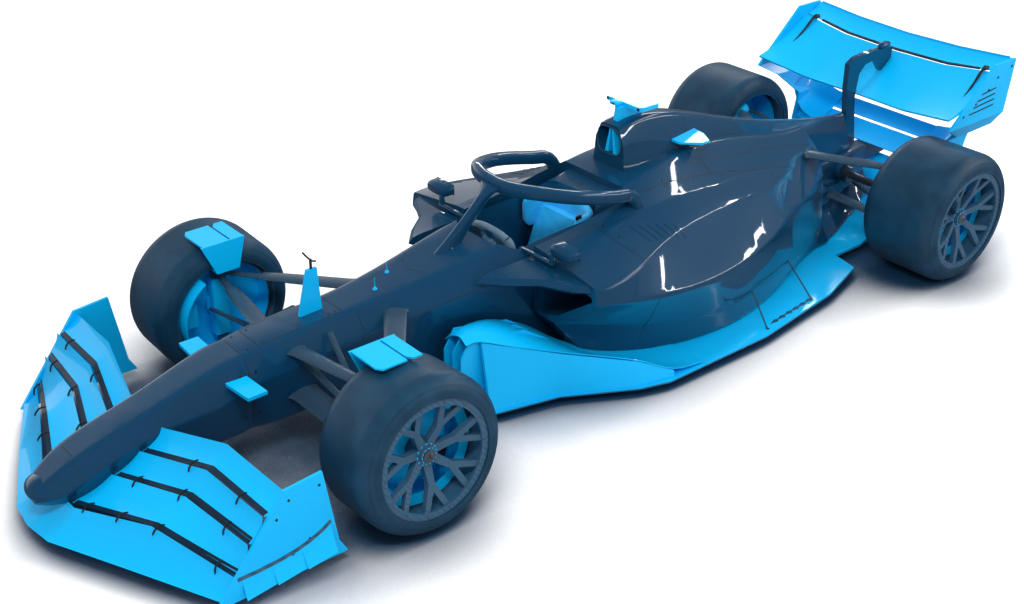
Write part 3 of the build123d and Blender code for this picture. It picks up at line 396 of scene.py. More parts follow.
def along_path(points, up=(0, 0, 1), scales=None):
    """Matrices that follow a path of points, with Z along it, each scaled in turn."""
    points = [Vector(point) for point in points]
    stations = []
    for number, point in enumerate(points):
        before = points[max(number - 1, 0)]
        after = points[min(number + 1, len(points) - 1)]
        station = look_along(point, after - before, up)
        if scales:
            station = station @ Matrix.Diagonal((*scales[number], 1.0, 1.0))
        stations.append(station)
    return stations


def rod(bm, points, radius, segments=12, up=(0, 0, 1), scales=None):
    """A round rod along a path."""
    ring = bmesh.ops.create_circle(bm, cap_ends=False, radius=radius, segments=segments)["verts"]
    loop = once(e for v in ring for e in v.link_edges)
    sweep(bm, loop, along_path(points, up, scales))


def block(bm, size, matrix, bevel=0.0, segments=2):
    """A box with rounded edges."""
    made = bmesh.ops.create_cube(bm, size=1.0, matrix=matrix @ Matrix.Diagonal((*size, 1.0)))["verts"]
    if bevel:
        edges = once(e for v in made for e in v.link_edges)
        bmesh.ops.bevel(
            bm, geom=edges, offset=bevel, segments=segments, affect="EDGES", profile=0.5, material=-1
        )


def disc(bm, matrix, radius, height, segments=24, top=None, bevel=0.0):
    """A cylinder or cone that stands on the matrix's XY plane."""
    shape = matrix @ at((0, 0, height / 2))
    made = bmesh.ops.create_cone(
        bm,
        cap_ends=True,
        segments=segments,
        radius1=radius,
        radius2=radius if top is None else top,
        depth=height,
        matrix=shape,
    )["verts"]
    if bevel:
        rim = [v for v in made if (matrix.inverted() @ v.co).z > height / 2]
        edges = once(e for v in rim for e in v.link_edges if set(e.verts) <= set(rim))
        bmesh.ops.bevel(
            bm, geom=edges, offset=bevel, segments=2, affect="EDGES", profile=0.5, material=-1
        )


def spun(bm, profile, matrix, steps=48):
    """A closed profile of (radius, height) points spun round the matrix's Z axis."""
    verts = [bm.verts.new((radius, 0.0, height)) for radius, height in profile]
    pairs = list(zip(verts, verts[1:])) + [(verts[-1], verts[0])]
    edges = [bm.edges.new(pair) for pair in pairs]
    bmesh.ops.spin(
        bm,
        geom=verts + edges,
        cent=(0, 0, 0),
        axis=(0, 0, 1),
        dvec=(0, 0, 0),
        angle=math.tau,
        steps=steps,
        use_merge=True,
    )
    # the spin's own list leaves out the profile, so the ring is gathered by walking its edges
    fresh = once(v for e in edges for v in e.verts)
    whole = dict.fromkeys(fresh)
    while fresh:
        reached = once(e.other_vert(v) for v in fresh for e in v.link_edges)
        fresh = [v for v in reached if v not in whole]
        whole.update(dict.fromkeys(fresh))
    bmesh.ops.transform(bm, matrix=matrix, verts=list(whole))


def ribbon(bm, nodes, points, direction, width, lift=0.0006, step=0.03):
    """A thin dark strip laid on the CAD surface under a line of points."""
    points = [Vector(point) for point in points]
    places = []
    for a, b in zip(points, points[1:]):
        count = max(1, round((b - a).length / step))
        places += [a.lerp(b, n / count) for n in range(count)]
    places.append(points[-1])
    found = [hit(nodes, place, direction) for place in places]
    found = [f for f in found if f]
    if len(found) < 2:
        return
    stations = []
    for number, (place, normal, _) in enumerate(found):
        before, after = found[max(number - 1, 0)][0], found[min(number + 1, len(found) - 1)][0]
        if (after - before).length < 1e-5:
            continue
        stations.append(look_along(place + normal * lift * 0.1, after - before, normal))
    half = width / 2
    loop = outline(bm, [(-half, -lift), (half, -lift), (half, lift), (-half, lift)])
    sweep(bm, loop, stations)


def hex_bolts(bm, nodes, starts, direction, radius, height=0.002):
    """Flush bolts where rays meet the CAD nodes, standing on the surface."""
    for start in starts:
        found = hit(nodes, start, direction)
        if found:
            place, normal, _ = found
            matrix = look_along(place - normal * height * 0.5, normal)
            disc(bm, matrix, radius, height, 16, bevel=height * 0.3)
            disc(bm, matrix @ at((0, 0, height * 0.4)), radius * 0.5, height * 0.75, 6)


def soften(node):
    """Smooth a CAD node's shading where its facets meet at shallow angles."""
    mesh = node.data
    for face in mesh.polygons:
        face.use_smooth = True
    weld = node.modifiers.new("Weld", "WELD")
    weld.merge_threshold = 0.00002
    split = node.modifiers.new("Edges", "EDGE_SPLIT")
    split.split_angle = math.radians(28)


def front(distance):
    """Place along Y in metres, measured backwards from the front axle in millimetres."""
    return FRONT_AXLE + distance * MM


def rear(distance):
    """Place along Y in metres, measured backwards from the rear axle in millimetres."""
    return REAR_AXLE + distance * MM


def curve(points, steps):
    """A smooth run of points through a few, steps to each stretch."""
    points = [Vector(point) for point in points]
    padded = [points[0] * 2 - points[1], *points, points[-1] * 2 - points[-2]]
    run = []
    for a, b, c, d in zip(padded, padded[1:], padded[2:], padded[3:]):
        for number in range(steps):
            t = number / steps
            bend = (2 * a - 5 * b + 4 * c - d) * t**2 + (3 * b - a - 3 * c + d) * t**3
            run.append(0.5 * (2 * b + (c - a) * t + bend))
    run.append(points[-1])
    return run


def skin(bm, rows, thickness, steps=3, across=3):
    """A curved panel through rows of points, smooth both ways and closed all round."""
    rows = [curve(row, across) for row in rows]
    columns = [curve(column, steps) for column in zip(*rows)]
    chains = []
    for row in zip(*columns):
        verts = [bm.verts.new(point) for point in row]
        chains.append([bm.edges.new(pair) for pair in zip(verts, verts[1:])])
    faces = []
    for before, after in zip(chains, chains[1:]):
        faces += bmesh.ops.bridge_loops(bm, edges=before + after)["faces"]
    bmesh.ops.recalc_face_normals(bm, faces=faces)
    bmesh.ops.solidify(bm, geom=faces, thickness=thickness)


def loft(bm, rings):
    """A closed body through rings of points, capped at both ends."""
    loops = []
    for ring in rings:
        verts = [bm.verts.new(point) for point in ring]
        loops.append([bm.edges.new(pair) for pair in zip(verts, verts[1:] + verts[:1])])
    for before, after in zip(loops, loops[1:]):
        bmesh.ops.bridge_loops(bm, edges=before + after)
    bmesh.ops.holes_fill(bm, edges=loops[0] + loops[-1], sides=0)


def on_plane(place, u, v):
    """Matrix at a place with X along u and Y along v."""
    u, v = Vector(u).normalized(), Vector(v).normalized()
    matrix = Matrix((u, v, u.cross(v))).transposed().to_4x4()
    matrix.translation = Vector(place)
    return matrix


def plate(bm, profile, matrix, thickness):
    """A flat shape in the matrix's XY plane, with its thickness to both sides."""
    half = thickness / 2
    ends = [matrix @ at((0, 0, z)) for z in (-half, half)]
    sweep(bm, outline(bm, profile), ends)


def ball(bm, place, size, segments=20):
    """An egg of three full lengths."""
    matrix = at(place) @ Matrix.Diagonal((*size, 1.0))
    halves = segments // 2
    bmesh.ops.create_uvsphere(bm, u_segments=segments, v_segments=halves, radius=0.5, matrix=matrix)


def turn_about(matrix, angle):
    """A matrix turned about its own Z axis by an angle in degrees."""
    return matrix @ Matrix.Rotation(math.radians(angle), 4, "Z")


def rounded(half_width, half_height, power=0.7, count=24, power_up=None):
    """A soft-cornered oblong as 2-D points; a smaller power has squarer corners."""
    power_up = power_up or power
    points = []
    for number in range(count):
        angle = math.tau * number / count
        c, s = math.cos(angle), math.sin(angle)
        x, y = abs(c) ** power, abs(s) ** power_up
        points.append((half_width * math.copysign(x, c), half_height * math.copysign(y, s)))
    return points


def between(table, x):
    """A point of a table of (x, point) rows at x, straight between two rows."""
    for (x0, p0), (x1, p1) in zip(table, table[1:]):
        if x <= x1:
            return Vector(p0).lerp(Vector(p1), max(0.0, (x - x0) / (x1 - x0)))
    return Vector(table[-1][1])


# ---------------------------------------------------------------- where the CAD pieces are
# trailing edges (y, z) of the front wing's elements at three half widths, from the first to the last
WING_EDGES = [
    [(0.104, (front(-1195), 0.199)), (0.520, (front(-1035), 0.250)), (0.905, (front(-895), 0.165))],
    [(0.104, (front(-1010), 0.262)), (0.520, (front(-875), 0.318)), (0.905, (front(-828), 0.292))],
    [(0.104, (front(-878), 0.322)), (0.520, (front(-772), 0.402)), (0.905, (front(-753), 0.388))],
    [(0.104, (front(-766), 0.392)), (0.520, (front(-671), 0.484)), (0.905, (front(-642), 0.450))],
]
REAR_EDGE = [(0.0, (rear(512), 0.938)), (0.35, (rear(517), 0.945)), (0.68, (rear(540), 0.982))]
REAR_LEAD = [(0.0, (rear(210), 0.745)), (0.35, (rear(190), 0.750)), (0.68, (rear(140), 0.800))]
FLAP_EDGE = [(0.0, (rear(640), 1.012)), (0.35, (rear(645), 1.020)), (0.674, (rear(668), 1.037))]
# wheel joint, its own body, the body that carries it, tyre width
WHEELS = (
    ("wheel_front_left_spin", "wheel_front_left", "steer_left", 0.372),
    ("wheel_front_right_spin", "wheel_front_right", "steer_right", 0.372),
    ("wheel_rear_left_spin", "wheel_rear_left", "chassis", 0.460),
    ("wheel_rear_right_spin", "wheel_rear_right", "chassis", 0.460),
)


def wheel_frame(joint_name):
    """Matrix at a wheel's outer face with Z pointing inwards along its axle."""
    joint = next(j for j in frame["joints"] if j["name"] == joint_name)
    return look_along(joint["pos_m"], -Vector(joint["axis"]))


class CAR_OT_finishes(bpy.types.Operator):
    """Give every CAD node its finish"""

    bl_idname = "car.finishes"
    bl_label = "Finishes"

    def execute(self, context):
        make_finishes()
        for finish, names in CAD_FINISH.items():
            for name in names.split():
                node = frame["nodes"][name]
                node.data.materials.clear()
                node.data.materials.append(finishes[finish])
                soften(node)
        return {"FINISHED"}


class CAR_OT_wheels(bpy.types.Operator):
    """Nut inserts and pointers, rim bolts, sidewall lines, drum faces and calipers"""

    bl_idname = "car.wheels"
    bl_label = "Wheel fittings"

    def execute(self, context):
        marks = fitting().nut_marks
        rim_bolts, arms = 14, 6
        shoulder, shoulder_centre = 0.082, 0.278
        # half sections as (radius, depth behind the tyre's outer face)
        nut = [
            (0.0005, 0.040), (0.012, 0.040), (0.016, 0.045), (0.029, 0.047), (0.031, 0.053),
            (0.0005, 0.053),
        ]
        face = [
            (0.054, 0.150), (0.085, 0.146), (0.120, 0.150), (0.160, 0.166), (0.192, 0.192),
            (0.204, 0.222), (0.198, 0.222), (0.186, 0.196), (0.158, 0.173), (0.120, 0.157),
            (0.085, 0.153), (0.054, 0.157),
        ]
        for joint, wheel, carrier, width in WHEELS:
            hub = wheel_frame(joint)
            name = wheel.replace("wheel_", "")
            bm = bmesh.new()
            spun(bm, nut, hub, 32)
            disc(bm, hub @ at((0, 0, 0.030)), 0.005, 0.012, 12)
            for number in range(rim_bolts):
                bolt = turn_about(hub, 360 / rim_bolts * (number + 0.5)) @ at((0, 0.2515, 0.0065))
                disc(bm, bolt, 0.0042, 0.0018, 6)
            link(bm, f"nut_insert_{name}", "alloy", wheel)
            bm = bmesh.new()
            for number in range(marks):
                mark = turn_about(hub, 360 / marks * number)
                inner = [(-0.0045, 0.0335), (0.0045, 0.0335), (0.0, 0.0392)]
                outer = [(-0.006, 0.0505), (0.006, 0.0505), (0.0, 0.0425)]
                plate(bm, inner, mark @ at((0, 0, 0.0525)), 0.0014)
                plate(bm, outer, mark @ at((0, 0, 0.0695)), 0.0014)
            link(bm, f"nut_marks_{name}", "accent_paint", wheel)
            bm = bmesh.new()
            for angle, height in ((11, 0.0007), (17, 0.0005), (33, 0.0009), (36, 0.0005)):
                section = ((-0.0013, -0.0004), (-0.0007, height), (0.0007, height), (0.0013, -0.0004))
                for flip in (False, True):
                    ring = []
                    for along_arc, out in section:
                        turn = math.radians(angle) + along_arc / shoulder
                        reach = shoulder + out
                        depth = shoulder - reach * math.cos(turn)
                        radius = shoulder_centre + reach * math.sin(turn)
                        ring.append((radius, width - depth if flip else depth))
                    spun(bm, ring, hub, 96)
            link(bm, f"sidewall_lines_{name}", "tyre_rubber", wheel)
            bm = bmesh.new()
            spun(bm, face, hub, 72)
            for number in range(arms):
                arm = turn_about(hub, 360 / arms * number + 20) @ at((0, 0.102, 0.1465))
                disc(bm, arm, 0.010, 0.010, 16, bevel=0.002)
            link(bm, f"drum_face_{name}", "accent_paint", carrier, 40)
            bm = bmesh.new()
            seat = turn_about(hub, 118 if joint.startswith("wheel_front") else 62)
            block(bm, (0.110, 0.060, 0.030), seat @ at((0, 0.135, 0.150)), 0.006, 3)
            for x in (-0.034, 0.034):
                disc(bm, seat @ at((x, 0.135, 0.1335)), 0.013, 0.005, 20)
            link(bm, f"caliper_{name}", "dark_alloy", carrier)
        return {"FINISHED"}


class CAR_OT_front_wing(bpy.types.Operator):
    """Slot brackets, painted slot shade, footplates and stepped lips of the front wing"""

    bl_idname = "car.front_wing"
    bl_label = "Front wing fittings"

    def execute(self, context):
        rise = fitting().bracket_height
        hook = [
            (-0.030, 0.001), (-0.016, 0.008 + rise * 0.3), (0.004, 0.008 + rise * 0.7),
            (0.022, 0.006 + rise * 0.4), (0.036, 0.000), (0.032, -0.004), (0.018, 0.003 + rise * 0.2),
            (0.004, 0.004 + rise * 0.4), (-0.012, 0.003 + rise * 0.1), (-0.026, -0.004),
        ]
        # half widths of the brackets in each slot, and of the points of the painted slot shade along a
        # leading edge
        places = ((0.20, 0.37, 0.55, 0.83), (0.26, 0.50, 0.78), (0.44, 0.76))
        spots = (0.112, 0.30, 0.52, 0.66, 0.78, 0.898)
        outer_face = 0.919
        hooks, slot_shades = bmesh.new(), bmesh.new()
        for number, (table, ahead, row) in enumerate(zip(WING_EDGES, WING_EDGES[1:], places), 1):
            for side in SIDES:
                for x in row:
                    edge, target = between(table, x), between(ahead, x)
                    u = (0, *(target - edge))
                    plate(hooks, hook, on_plane((side * x, *edge), u, (0, -u[2], u[1])), 0.003)
                # dark navy strips on the next flap just behind each trailing edge: painted shade in the
                # slot
                for back, width in ((0.005, 0.014), (0.017, 0.014), (0.028, 0.012)):
                    line = [(side * x, between(table, x).x + back, 1.2) for x in spots]
                    ribbon(slot_shades, f"front_wing_flap_{number}", line, DOWN, width, 0.0007, 0.02)
        link(hooks, "slot_brackets", "black_plastic", sharp=50)
        link(slot_shades, "front_wing_slot_shade", "slot_shade_navy", sharp=60)
        # station and height of the seam between endplate and footplate
        strip = [
            (-891, 0.159), (-800, 0.158), (-701, 0.163), (-625, 0.174), (-560, 0.190), (-500, 0.214),
            (-460, 0.240),
        ]
        for side, name in NAMED_SIDES:
            bm = bmesh.new()
            line = [(side * 1.2, front(y), z) for y, z in strip]
            ribbon(bm, f"front_wing_endplate_{name}", line, (-side, 0, 0), 0.017, 0.0016, 0.02)
            link(bm, f"endplate_strip_{name}", "carbon_cloth", sharp=40)
            bm = bmesh.new()
            for number in range(3):
                begin, reach = -870 + number * 135, 0.026 + number * 0.010
                rows = []
                for y in (begin, begin + 70, begin + 140):
                    low = 0.062 + 0.00012 * (y + 870)
                    high = between([(at, (height, 0)) for at, height in strip], y)[0] - 0.012
                    rows.append([
                        (side * outer_face, front(y), high),
                        (side * (outer_face + reach * 0.30), front(y), high * 0.6 + low * 0.4),
                        (side * (outer_face + reach), front(y), low),
                    ])
                skin(bm, rows, 0.003, 3, 4)
            link(bm, f"footplate_{name}", "accent_paint", sharp=40)
            bm = bmesh.new()
            for y, z in ((-700, 0.355), (-640, 0.420), (-560, 0.20), (-640, 0.16), (-500, 0.43)):
                head = look_along((side * outer_face, front(y), z), (side, 0, 0))
                disc(bm, head, fitting().bolt_radius, 0.0016, 18, bevel=0.0005)
            link(bm, f"endplate_bolts_{name}", "dark_alloy")
        return {"FINISHED"}


class CAR_OT_nose(bpy.types.Operator):
    """Air speed probe on the fin, rounded nose tip, aerials, seams and bolts of the nose"""

    bl_idname = "car.nose"
    bl_label = "Nose fittings"

    def execute(self, context):
        bm = bmesh.new()
        top = Vector((0, front(86), 0.812))
        rod(bm, [top, top + Vector((0, 0, 0.050))], 0.0065, 16)
        arm = ((0, 0, 0.046), (0.025, 0.002, 0.050), (0.052, 0.006, 0.062))
        for side in SIDES:
            rod(bm, [top + Vector((side * x, -y, z)) for x, y, z in arm], 0.0045, 12)
        link(bm, "speed_probe", "black_plastic")
        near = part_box("nose_cone")[0][1] + 0.05
        upper = hit("nose_cone", (0, near, 2), DOWN)[0].z
        lower = hit("nose_cone", (0, near, -1), (0, 0, 1))[0].z
        wide = hit("nose_cone", (1, near, 0.5 * (upper + lower)), (-1, 0, 0))[0]
        tall = upper - wide.z
        bm = bmesh.new()
        ball(bm, (0, near + 0.010, wide.z), (wide.x * 2.10, 0.150, tall * 2.10), 40)
        link(bm, "nose_tip", "body_paint", sharp=60)
        bm = bmesh.new()
        for x, y in ((0.035, 395), (-0.045, 520)):
            foot = hit("monocoque", (x, front(y), 1.2), DOWN)[0]
            disc(bm, at(foot - Vector((0, 0, 0.001))), 0.012, 0.010, 20, top=0.006)
            disc(bm, at(foot), 0.0022, 0.060, 10, top=0.001)
        link(bm, "aerials", "accent_paint")
        width = fitting().seam_width
        bm = bmesh.new()
        for node, line in (
            ("monocoque", ((-0.155, -336), (0.155, -336))),
            ("monocoque", ((-0.082, -250), (-0.090, 180), (0.090, 180), (0.082, -250), (-0.082, -250))),
            ("monocoque", ((-0.100, 640), (0.0, 600), (0.100, 640))),
            ("nose_cone", ((-0.13, -1130), (0.13, -1130))),
        ):
            ribbon(bm, node, [(x, front(y), 1) for x, y in line], DOWN, width)
        for side in SIDES:
            for line in (((-336, 0.560), (-336, 0.225)), ((240, 0.59), (240, 0.32), (330, 0.25))):
                ribbon(bm, "monocoque", [(side, front(y), z) for y, z in line], (-side, 0, 0), width)
        link(bm, "nose_seams", "black_plastic")
        bm = bmesh.new()
        head = fitting().bolt_radius
        for y in (-300, -225, 120, 155):
            hex_bolts(bm, "monocoque", [(x, front(y), 1.2) for x in (-0.066, 0.066)], DOWN, head)
        for side in SIDES:
            for node, y in (("monocoque", -305), ("nose_cone", -375)):
                starts = [(side, front(y), z) for z in (0.30, 0.38, 0.50)]
                hex_bolts(bm, node, starts, (-side, 0, 0), head)
        link(bm, "nose_bolts", "dark_alloy")
        return {"FINISHED"}


class CAR_OT_suspension(bpy.types.Operator):
    """Fairings where the arms leave the body, ball joint nuts and the rims of the brake drums"""

    bl_idname = "car.suspension"
    bl_label = "Suspension fittings"

    def execute(self, context):
        front_pivot, rear_pivot = (0.7305, front(0)), (0.700, rear(0))
        high, low = 0.535, 0.185
        nut_seats = (0.5605, 0.1350)
        # nodes behind, inner end, outer end, chord, thickness
        arms = [
            ("monocoque", (0.165, front(-93), 0.530), (*front_pivot, high), 0.064, 0.020),
            ("monocoque", (0.180, front(400), 0.560), (*front_pivot, high), 0.076, 0.020),
            ("monocoque", (0.160, front(-90), 0.330), (*front_pivot, low), 0.100, 0.020),
            ("monocoque", (0.180, front(400), 0.300), (*front_pivot, low), 0.060, 0.020),
            ("monocoque", (0.150, front(70), 0.566), (0.655, front(-8), 0.204), 0.030, 0.016),
            ("monocoque", (0.140, front(-66), 0.470), (0.668, front(-76), 0.384), 0.028, 0.016),
            ("engine_cover sidepod_left", (0.165, rear(-430), 0.600), (*rear_pivot, high), 0.064, 0.020),
            ("gearbox", (0.110, rear(-110), 0.262), (*rear_pivot, low), 0.064, 0.020),
            ("gearbox", (0.095, rear(110), 0.300), (*rear_pivot, low), 0.050, 0.020),
        ]
        bm = bmesh.new()
        for nodes, inner, outer, chord, thick in arms:
            inner, outer = Vector(inner), Vector(outer)
            found = hit(nodes, outer, (inner - outer).normalized())
            if not found:
                continue
            away = (outer - inner).normalized()
            span = (outer - found[0]).length
            growth = ((-0.004, 1.7), (0.008, 1.5), (0.03, 1.4), (span * 0.45, 1.25), (span * 0.66, 1.04))
            for side in SIDES:
                flip = Vector((side, 1, 1))
                rings = []
                for reach, grow in growth:
                    matrix = look_along((found[0] + away * reach) * flip, away * flip, (0, 1, 0))
                    across, along = thick / 2 * grow, chord / 2 * grow
                    angles = [math.tau * number / 16 for number in range(16)]
                    rings.append([
                        matrix @ Vector((across * math.sin(a), along * math.cos(a), 0)) for a in angles
                    ])
                loft(bm, rings)
        link(bm, "arm_fairings", "carbon_dark", sharp=50)
        bm = bmesh.new()
        for x, y in (front_pivot, rear_pivot):
            for side in SIDES:
                for z in nut_seats:
                    disc(bm, at((side * x, y, z)), 0.013, 0.007, 6, bevel=0.001)
        link(bm, "ball_joint_nuts", "alloy")
        lip = ((0.2515, -0.004), (0.2555, -0.002), (0.2555, 0.004), (0.2455, 0.004), (0.2455, -0.001))
        for joint, wheel, carrier, width in WHEELS:
            depth = width - (0.034 if joint.startswith("wheel_front") else 0.060)
            bm = bmesh.new()
            spun(bm, [(radius, depth + off) for radius, off in lip], wheel_frame(joint), 96)
            link(bm, f"drum_rim_{wheel.replace('wheel_', '')}", "carbon_dark", carrier)
        return {"FINISHED"}


class CAR_OT_brake_scoops(bpy.types.Operator):
    """Scoops behind the rear drums and air ducts on all four carriers"""

    bl_idname = "car.brake_scoops"
    bl_label = "Brake scoops"

    def execute(self, context):
        # the scoop's section as (depth, radius), and its mouth
        section = ((0.400, 0.247), (0.426, 0.246), (0.452, 0.232), (0.458, 0.205))
        corners = [(-0.050, -0.036), (0.050, -0.036), (0.050, 0.036), (-0.050, 0.036)]
        duct = ((0, 0, 0), (0, 0, 0.05), (0, 0.02, 0.085))
        for joint, wheel, carrier, _ in WHEELS:
            name = wheel.replace("wheel_", "")
            hub = wheel_frame(joint)
            away = -1 if "right" in name else 1
            is_front = joint.startswith("wheel_front")
            if not is_front:
                rows = []
                for angle in (20, 50, 80, 110, 140):
                    c, s = math.cos(math.radians(angle)), math.sin(math.radians(angle))
                    rows.append([hub @ Vector((r * s * away, r * c, depth)) for depth, r in section])
                bm = bmesh.new()
                skin(bm, rows, 0.004)
                link(bm, f"scoop_{name}", "accent_paint", carrier, 40)
            bm = bmesh.new()
            web = 0.250 if is_front else 0.300
            mouth = turn_about(hub, -90 * away) @ at((0, 0.16, web))
            sweep(bm, outline(bm, corners), [mouth @ at(place) for place in duct])
            link(bm, f"duct_{name}", "accent_paint", carrier)
        return {"FINISHED"}


class CAR_OT_floor_roof(bpy.types.Operator):
    """The curved roof over the floor's inlets, its edge strips, stays and winglets, and the skids"""

    bl_idname = "car.floor_roof"
    bl_label = "Floor roof"

    def execute(self, context):
        # station, then (half width, height) from the tub's side to the side wall's crease
        rows = [
            (626, (0.250, 0.372), (0.300, 0.412), (0.360, 0.430), (0.408, 0.404)),
            (700, (0.252, 0.402), (0.305, 0.436), (0.370, 0.440), (0.421, 0.404)),
            (860, (0.262, 0.398), (0.325, 0.415), (0.410, 0.404), (0.498, 0.352)),
            (1056, (0.290, 0.318), (0.375, 0.318), (0.480, 0.306), (0.590, 0.296)),
            (1230, (0.350, 0.196), (0.450, 0.190), (0.560, 0.210), (0.664, 0.246)),
            (1400, (0.410, 0.118), (0.510, 0.110), (0.630, 0.134), (0.736, 0.194)),
            (1600, (0.480, 0.078), (0.580, 0.072), (0.690, 0.076), (0.787, 0.097)),
            (1800, (0.520, 0.064), (0.620, 0.063), (0.720, 0.063), (0.796, 0.064)),
        ]
        # half width and station along the floor's edge
        edge = [
            (0.499, 708), (0.578, 1056), (0.671, 1227), (0.764, 1400), (0.811, 1560), (0.806, 2250),
            (0.716, 2849), (0.600, 3190),
        ]
        for side, name in NAMED_SIDES:
            bm = bmesh.new()
            shell = [[(side * x, front(y), z + 0.005) for x, z in row] for y, *row in rows]
            skin(bm, shell, 0.004, 4, 4)
            link(bm, f"floor_roof_{name}", "accent_paint", sharp=60)
            bm = bmesh.new()
            path = [(side * x, front(y), 0.050) for x, y in edge]
            loop = outline(bm, [(-0.004, -0.0015), (0.004, -0.0015), (0.004, 0.0015), (-0.004, 0.0015)])
            sweep(bm, loop, along_path(path))
            link(bm, f"floor_edge_{name}", "carbon_cloth", sharp=60)
            bm = bmesh.new()
            for y, outer, inner in ((2300, 0.765, 0.636), (2720, 0.700, 0.500)):
                foot, head = (side * outer, front(y), 0.058), (side * inner, front(y + 10), 0.215)
                rod(bm, [foot, head], 0.004, 10)
                disc(bm, at((side * outer, front(y), 0.0595)), 0.009, 0.004, 16)
            for number in range(6):
                y = 2380 + number * 62
                foot = (side * (0.742 - number * 0.008), front(y), 0.060)
                base = on_plane(foot, (0.10 * side, 1, 0), (0, 0, 1))
                plate(bm, [(-0.026, 0), (0.026, 0), (0.022, 0.014), (-0.010, 0.018)], base, 0.003)
            link(bm, f"floor_stays_{name}", "carbon_dark")
        bm = bmesh.new()
        for y in (1090, 1500, 2000, 2500, 3000):
            for side in SIDES:
                disc(bm, look_along((side * 0.11, front(y), 0.0330), DOWN), 0.016, 0.0012, 24)
        for y in (1150, 2900):
            block(bm, (0.12, 0.16, 0.0016), at((0, front(y), 0.0322)), 0.0004, 1)
        link(bm, "skid_plates", "steel")
        return {"FINISHED"}


class CAR_OT_cockpit(bpy.types.Operator):
    """Headrest and seat pads, and the steering wheel's grips, screen, switches and paddles"""

    bl_idname = "car.cockpit"
    bl_label = "Cockpit"

    def execute(self, context):
        # half of the headrest's middle line: half width, station, height
        half = [(0.188, 1470, 0.617), (0.187, 1515, 0.619), (0.172, 1580, 0.624), (0.100, 1618, 0.630)]
        points = [(x, front(y), z) for x, y, z in half] + [(0.0, front(1622), 0.632)]
        path = curve(points + [(-x, y, z) for x, y, z in reversed(points[:-1])], 5)
        # thinner and lower towards its two ends
        scales = []
        for number in range(len(path)):
            near_end = min(number, len(path) - 1 - number)
            scales.append((min(1.0, 0.55 + near_end * 0.15), min(1.0, 0.62 + near_end * 0.14)))
        bm = bmesh.new()
        section = rounded(0.023, 0.088, 0.6, 24, 0.55)
        sweep(bm, outline(bm, section), along_path(path, scales=scales))
        pad = link(bm, "headrest", "accent_fabric", sharp=70)
        bm = bmesh.new()
        rings = []
        # station, height, half width and thickness, from the shoulders down and along the seat
        for y, z, half, thick in (
            (1635, 0.600, 0.10, 0.020), (1590, 0.470, 0.135, 0.034), (1545, 0.350, 0.145, 0.038),
            (1470, 0.296, 0.150, 0.036), (1330, 0.262, 0.150, 0.034), (1170, 0.242, 0.140, 0.022),
        ):
            lean = Vector((0, -0.55, 0.83)) if y > 1500 else Vector((0, -0.12, 0.99))
            ring = rounded(half, 0.5, 0.5, 20, 0.7)
            rings.append([Vector((x, front(y), z)) + lean * thick * (0.5 + up) for x, up in ring])
        loft(bm, rings)
        pad = link(bm, "seat_pad", "accent_fabric", sharp=70)
        bm = bmesh.new()
        for side in SIDES:
            block(bm, (0.012, 0.034, 0.020), at((side * 0.190, front(1495), 0.712)), 0.003)
            disc(bm, at((side * 0.190, front(1495), 0.716)), 0.006, 0.008, 16)
        link(bm, "headrest_latches", "black_plastic")

        # the steering wheel's face: X across, Y up and Z towards the driver
        rake = math.radians(12)
        face = look_along((0, front(1120), 0.620), (0, math.cos(rake), math.sin(rake)))
        grips = bmesh.new()
        grip = (
            (0.118, -0.066, 0.000), (0.130, -0.040, 0.004), (0.134, 0.0, 0.005), (0.130, 0.040, 0.004),
            (0.116, 0.066, 0.0),
        )
        top_bar = ((-0.116, 0.066), (-0.06, 0.080), (0.0, 0.083), (0.06, 0.080), (0.116, 0.066))
        for side in SIDES:
            rod(grips, curve([face @ Vector((side * x, y, z)) for x, y, z in grip], 3), 0.020, 16)
        rod(grips, curve([face @ Vector((x, y, 0)) for x, y in top_bar], 3), 0.017, 16)
        link(grips, "wheel_grips", "grip_rubber", "steering_wheel")
        screen = bmesh.new()
        block(screen, (0.10, 0.050, 0.005), face @ at((0, -0.008, 0.001)), 0.002)
        link(screen, "wheel_screen", "dark_glass", "steering_wheel")
        for name, finish, spots in (
            ("wheel_buttons", "accent_paint", ((0.078, 0.030), (0.078, -0.030), (-0.078, 0.030))),
            (
                "wheel_dials", "alloy",
                ((-0.078, -0.030), (0.034, -0.052), (-0.034, -0.052), (0.0, -0.056)),
            ),
            ("wheel_lamps", "red_glass", ((0.078, 0.0), (-0.078, 0.0))),
        ):
            bm = bmesh.new()
            for x, y in spots:
                disc(bm, face @ at((x, y, -0.001)), 0.009, 0.009, 20, bevel=0.0015)
            link(bm, name, finish, "steering_wheel")
        bm = bmesh.new()
        for side in SIDES:
            block(bm, (0.060, 0.070, 0.003), face @ at((side * 0.085, 0.0, -0.034)), 0.001)
            block(bm, (0.012, 0.016, 0.012), face @ at((side * 0.062, 0.0, -0.028)), 0.001)
        link(bm, "shift_paddles", "carbon_dark", "steering_wheel")
        return {"FINISHED"}


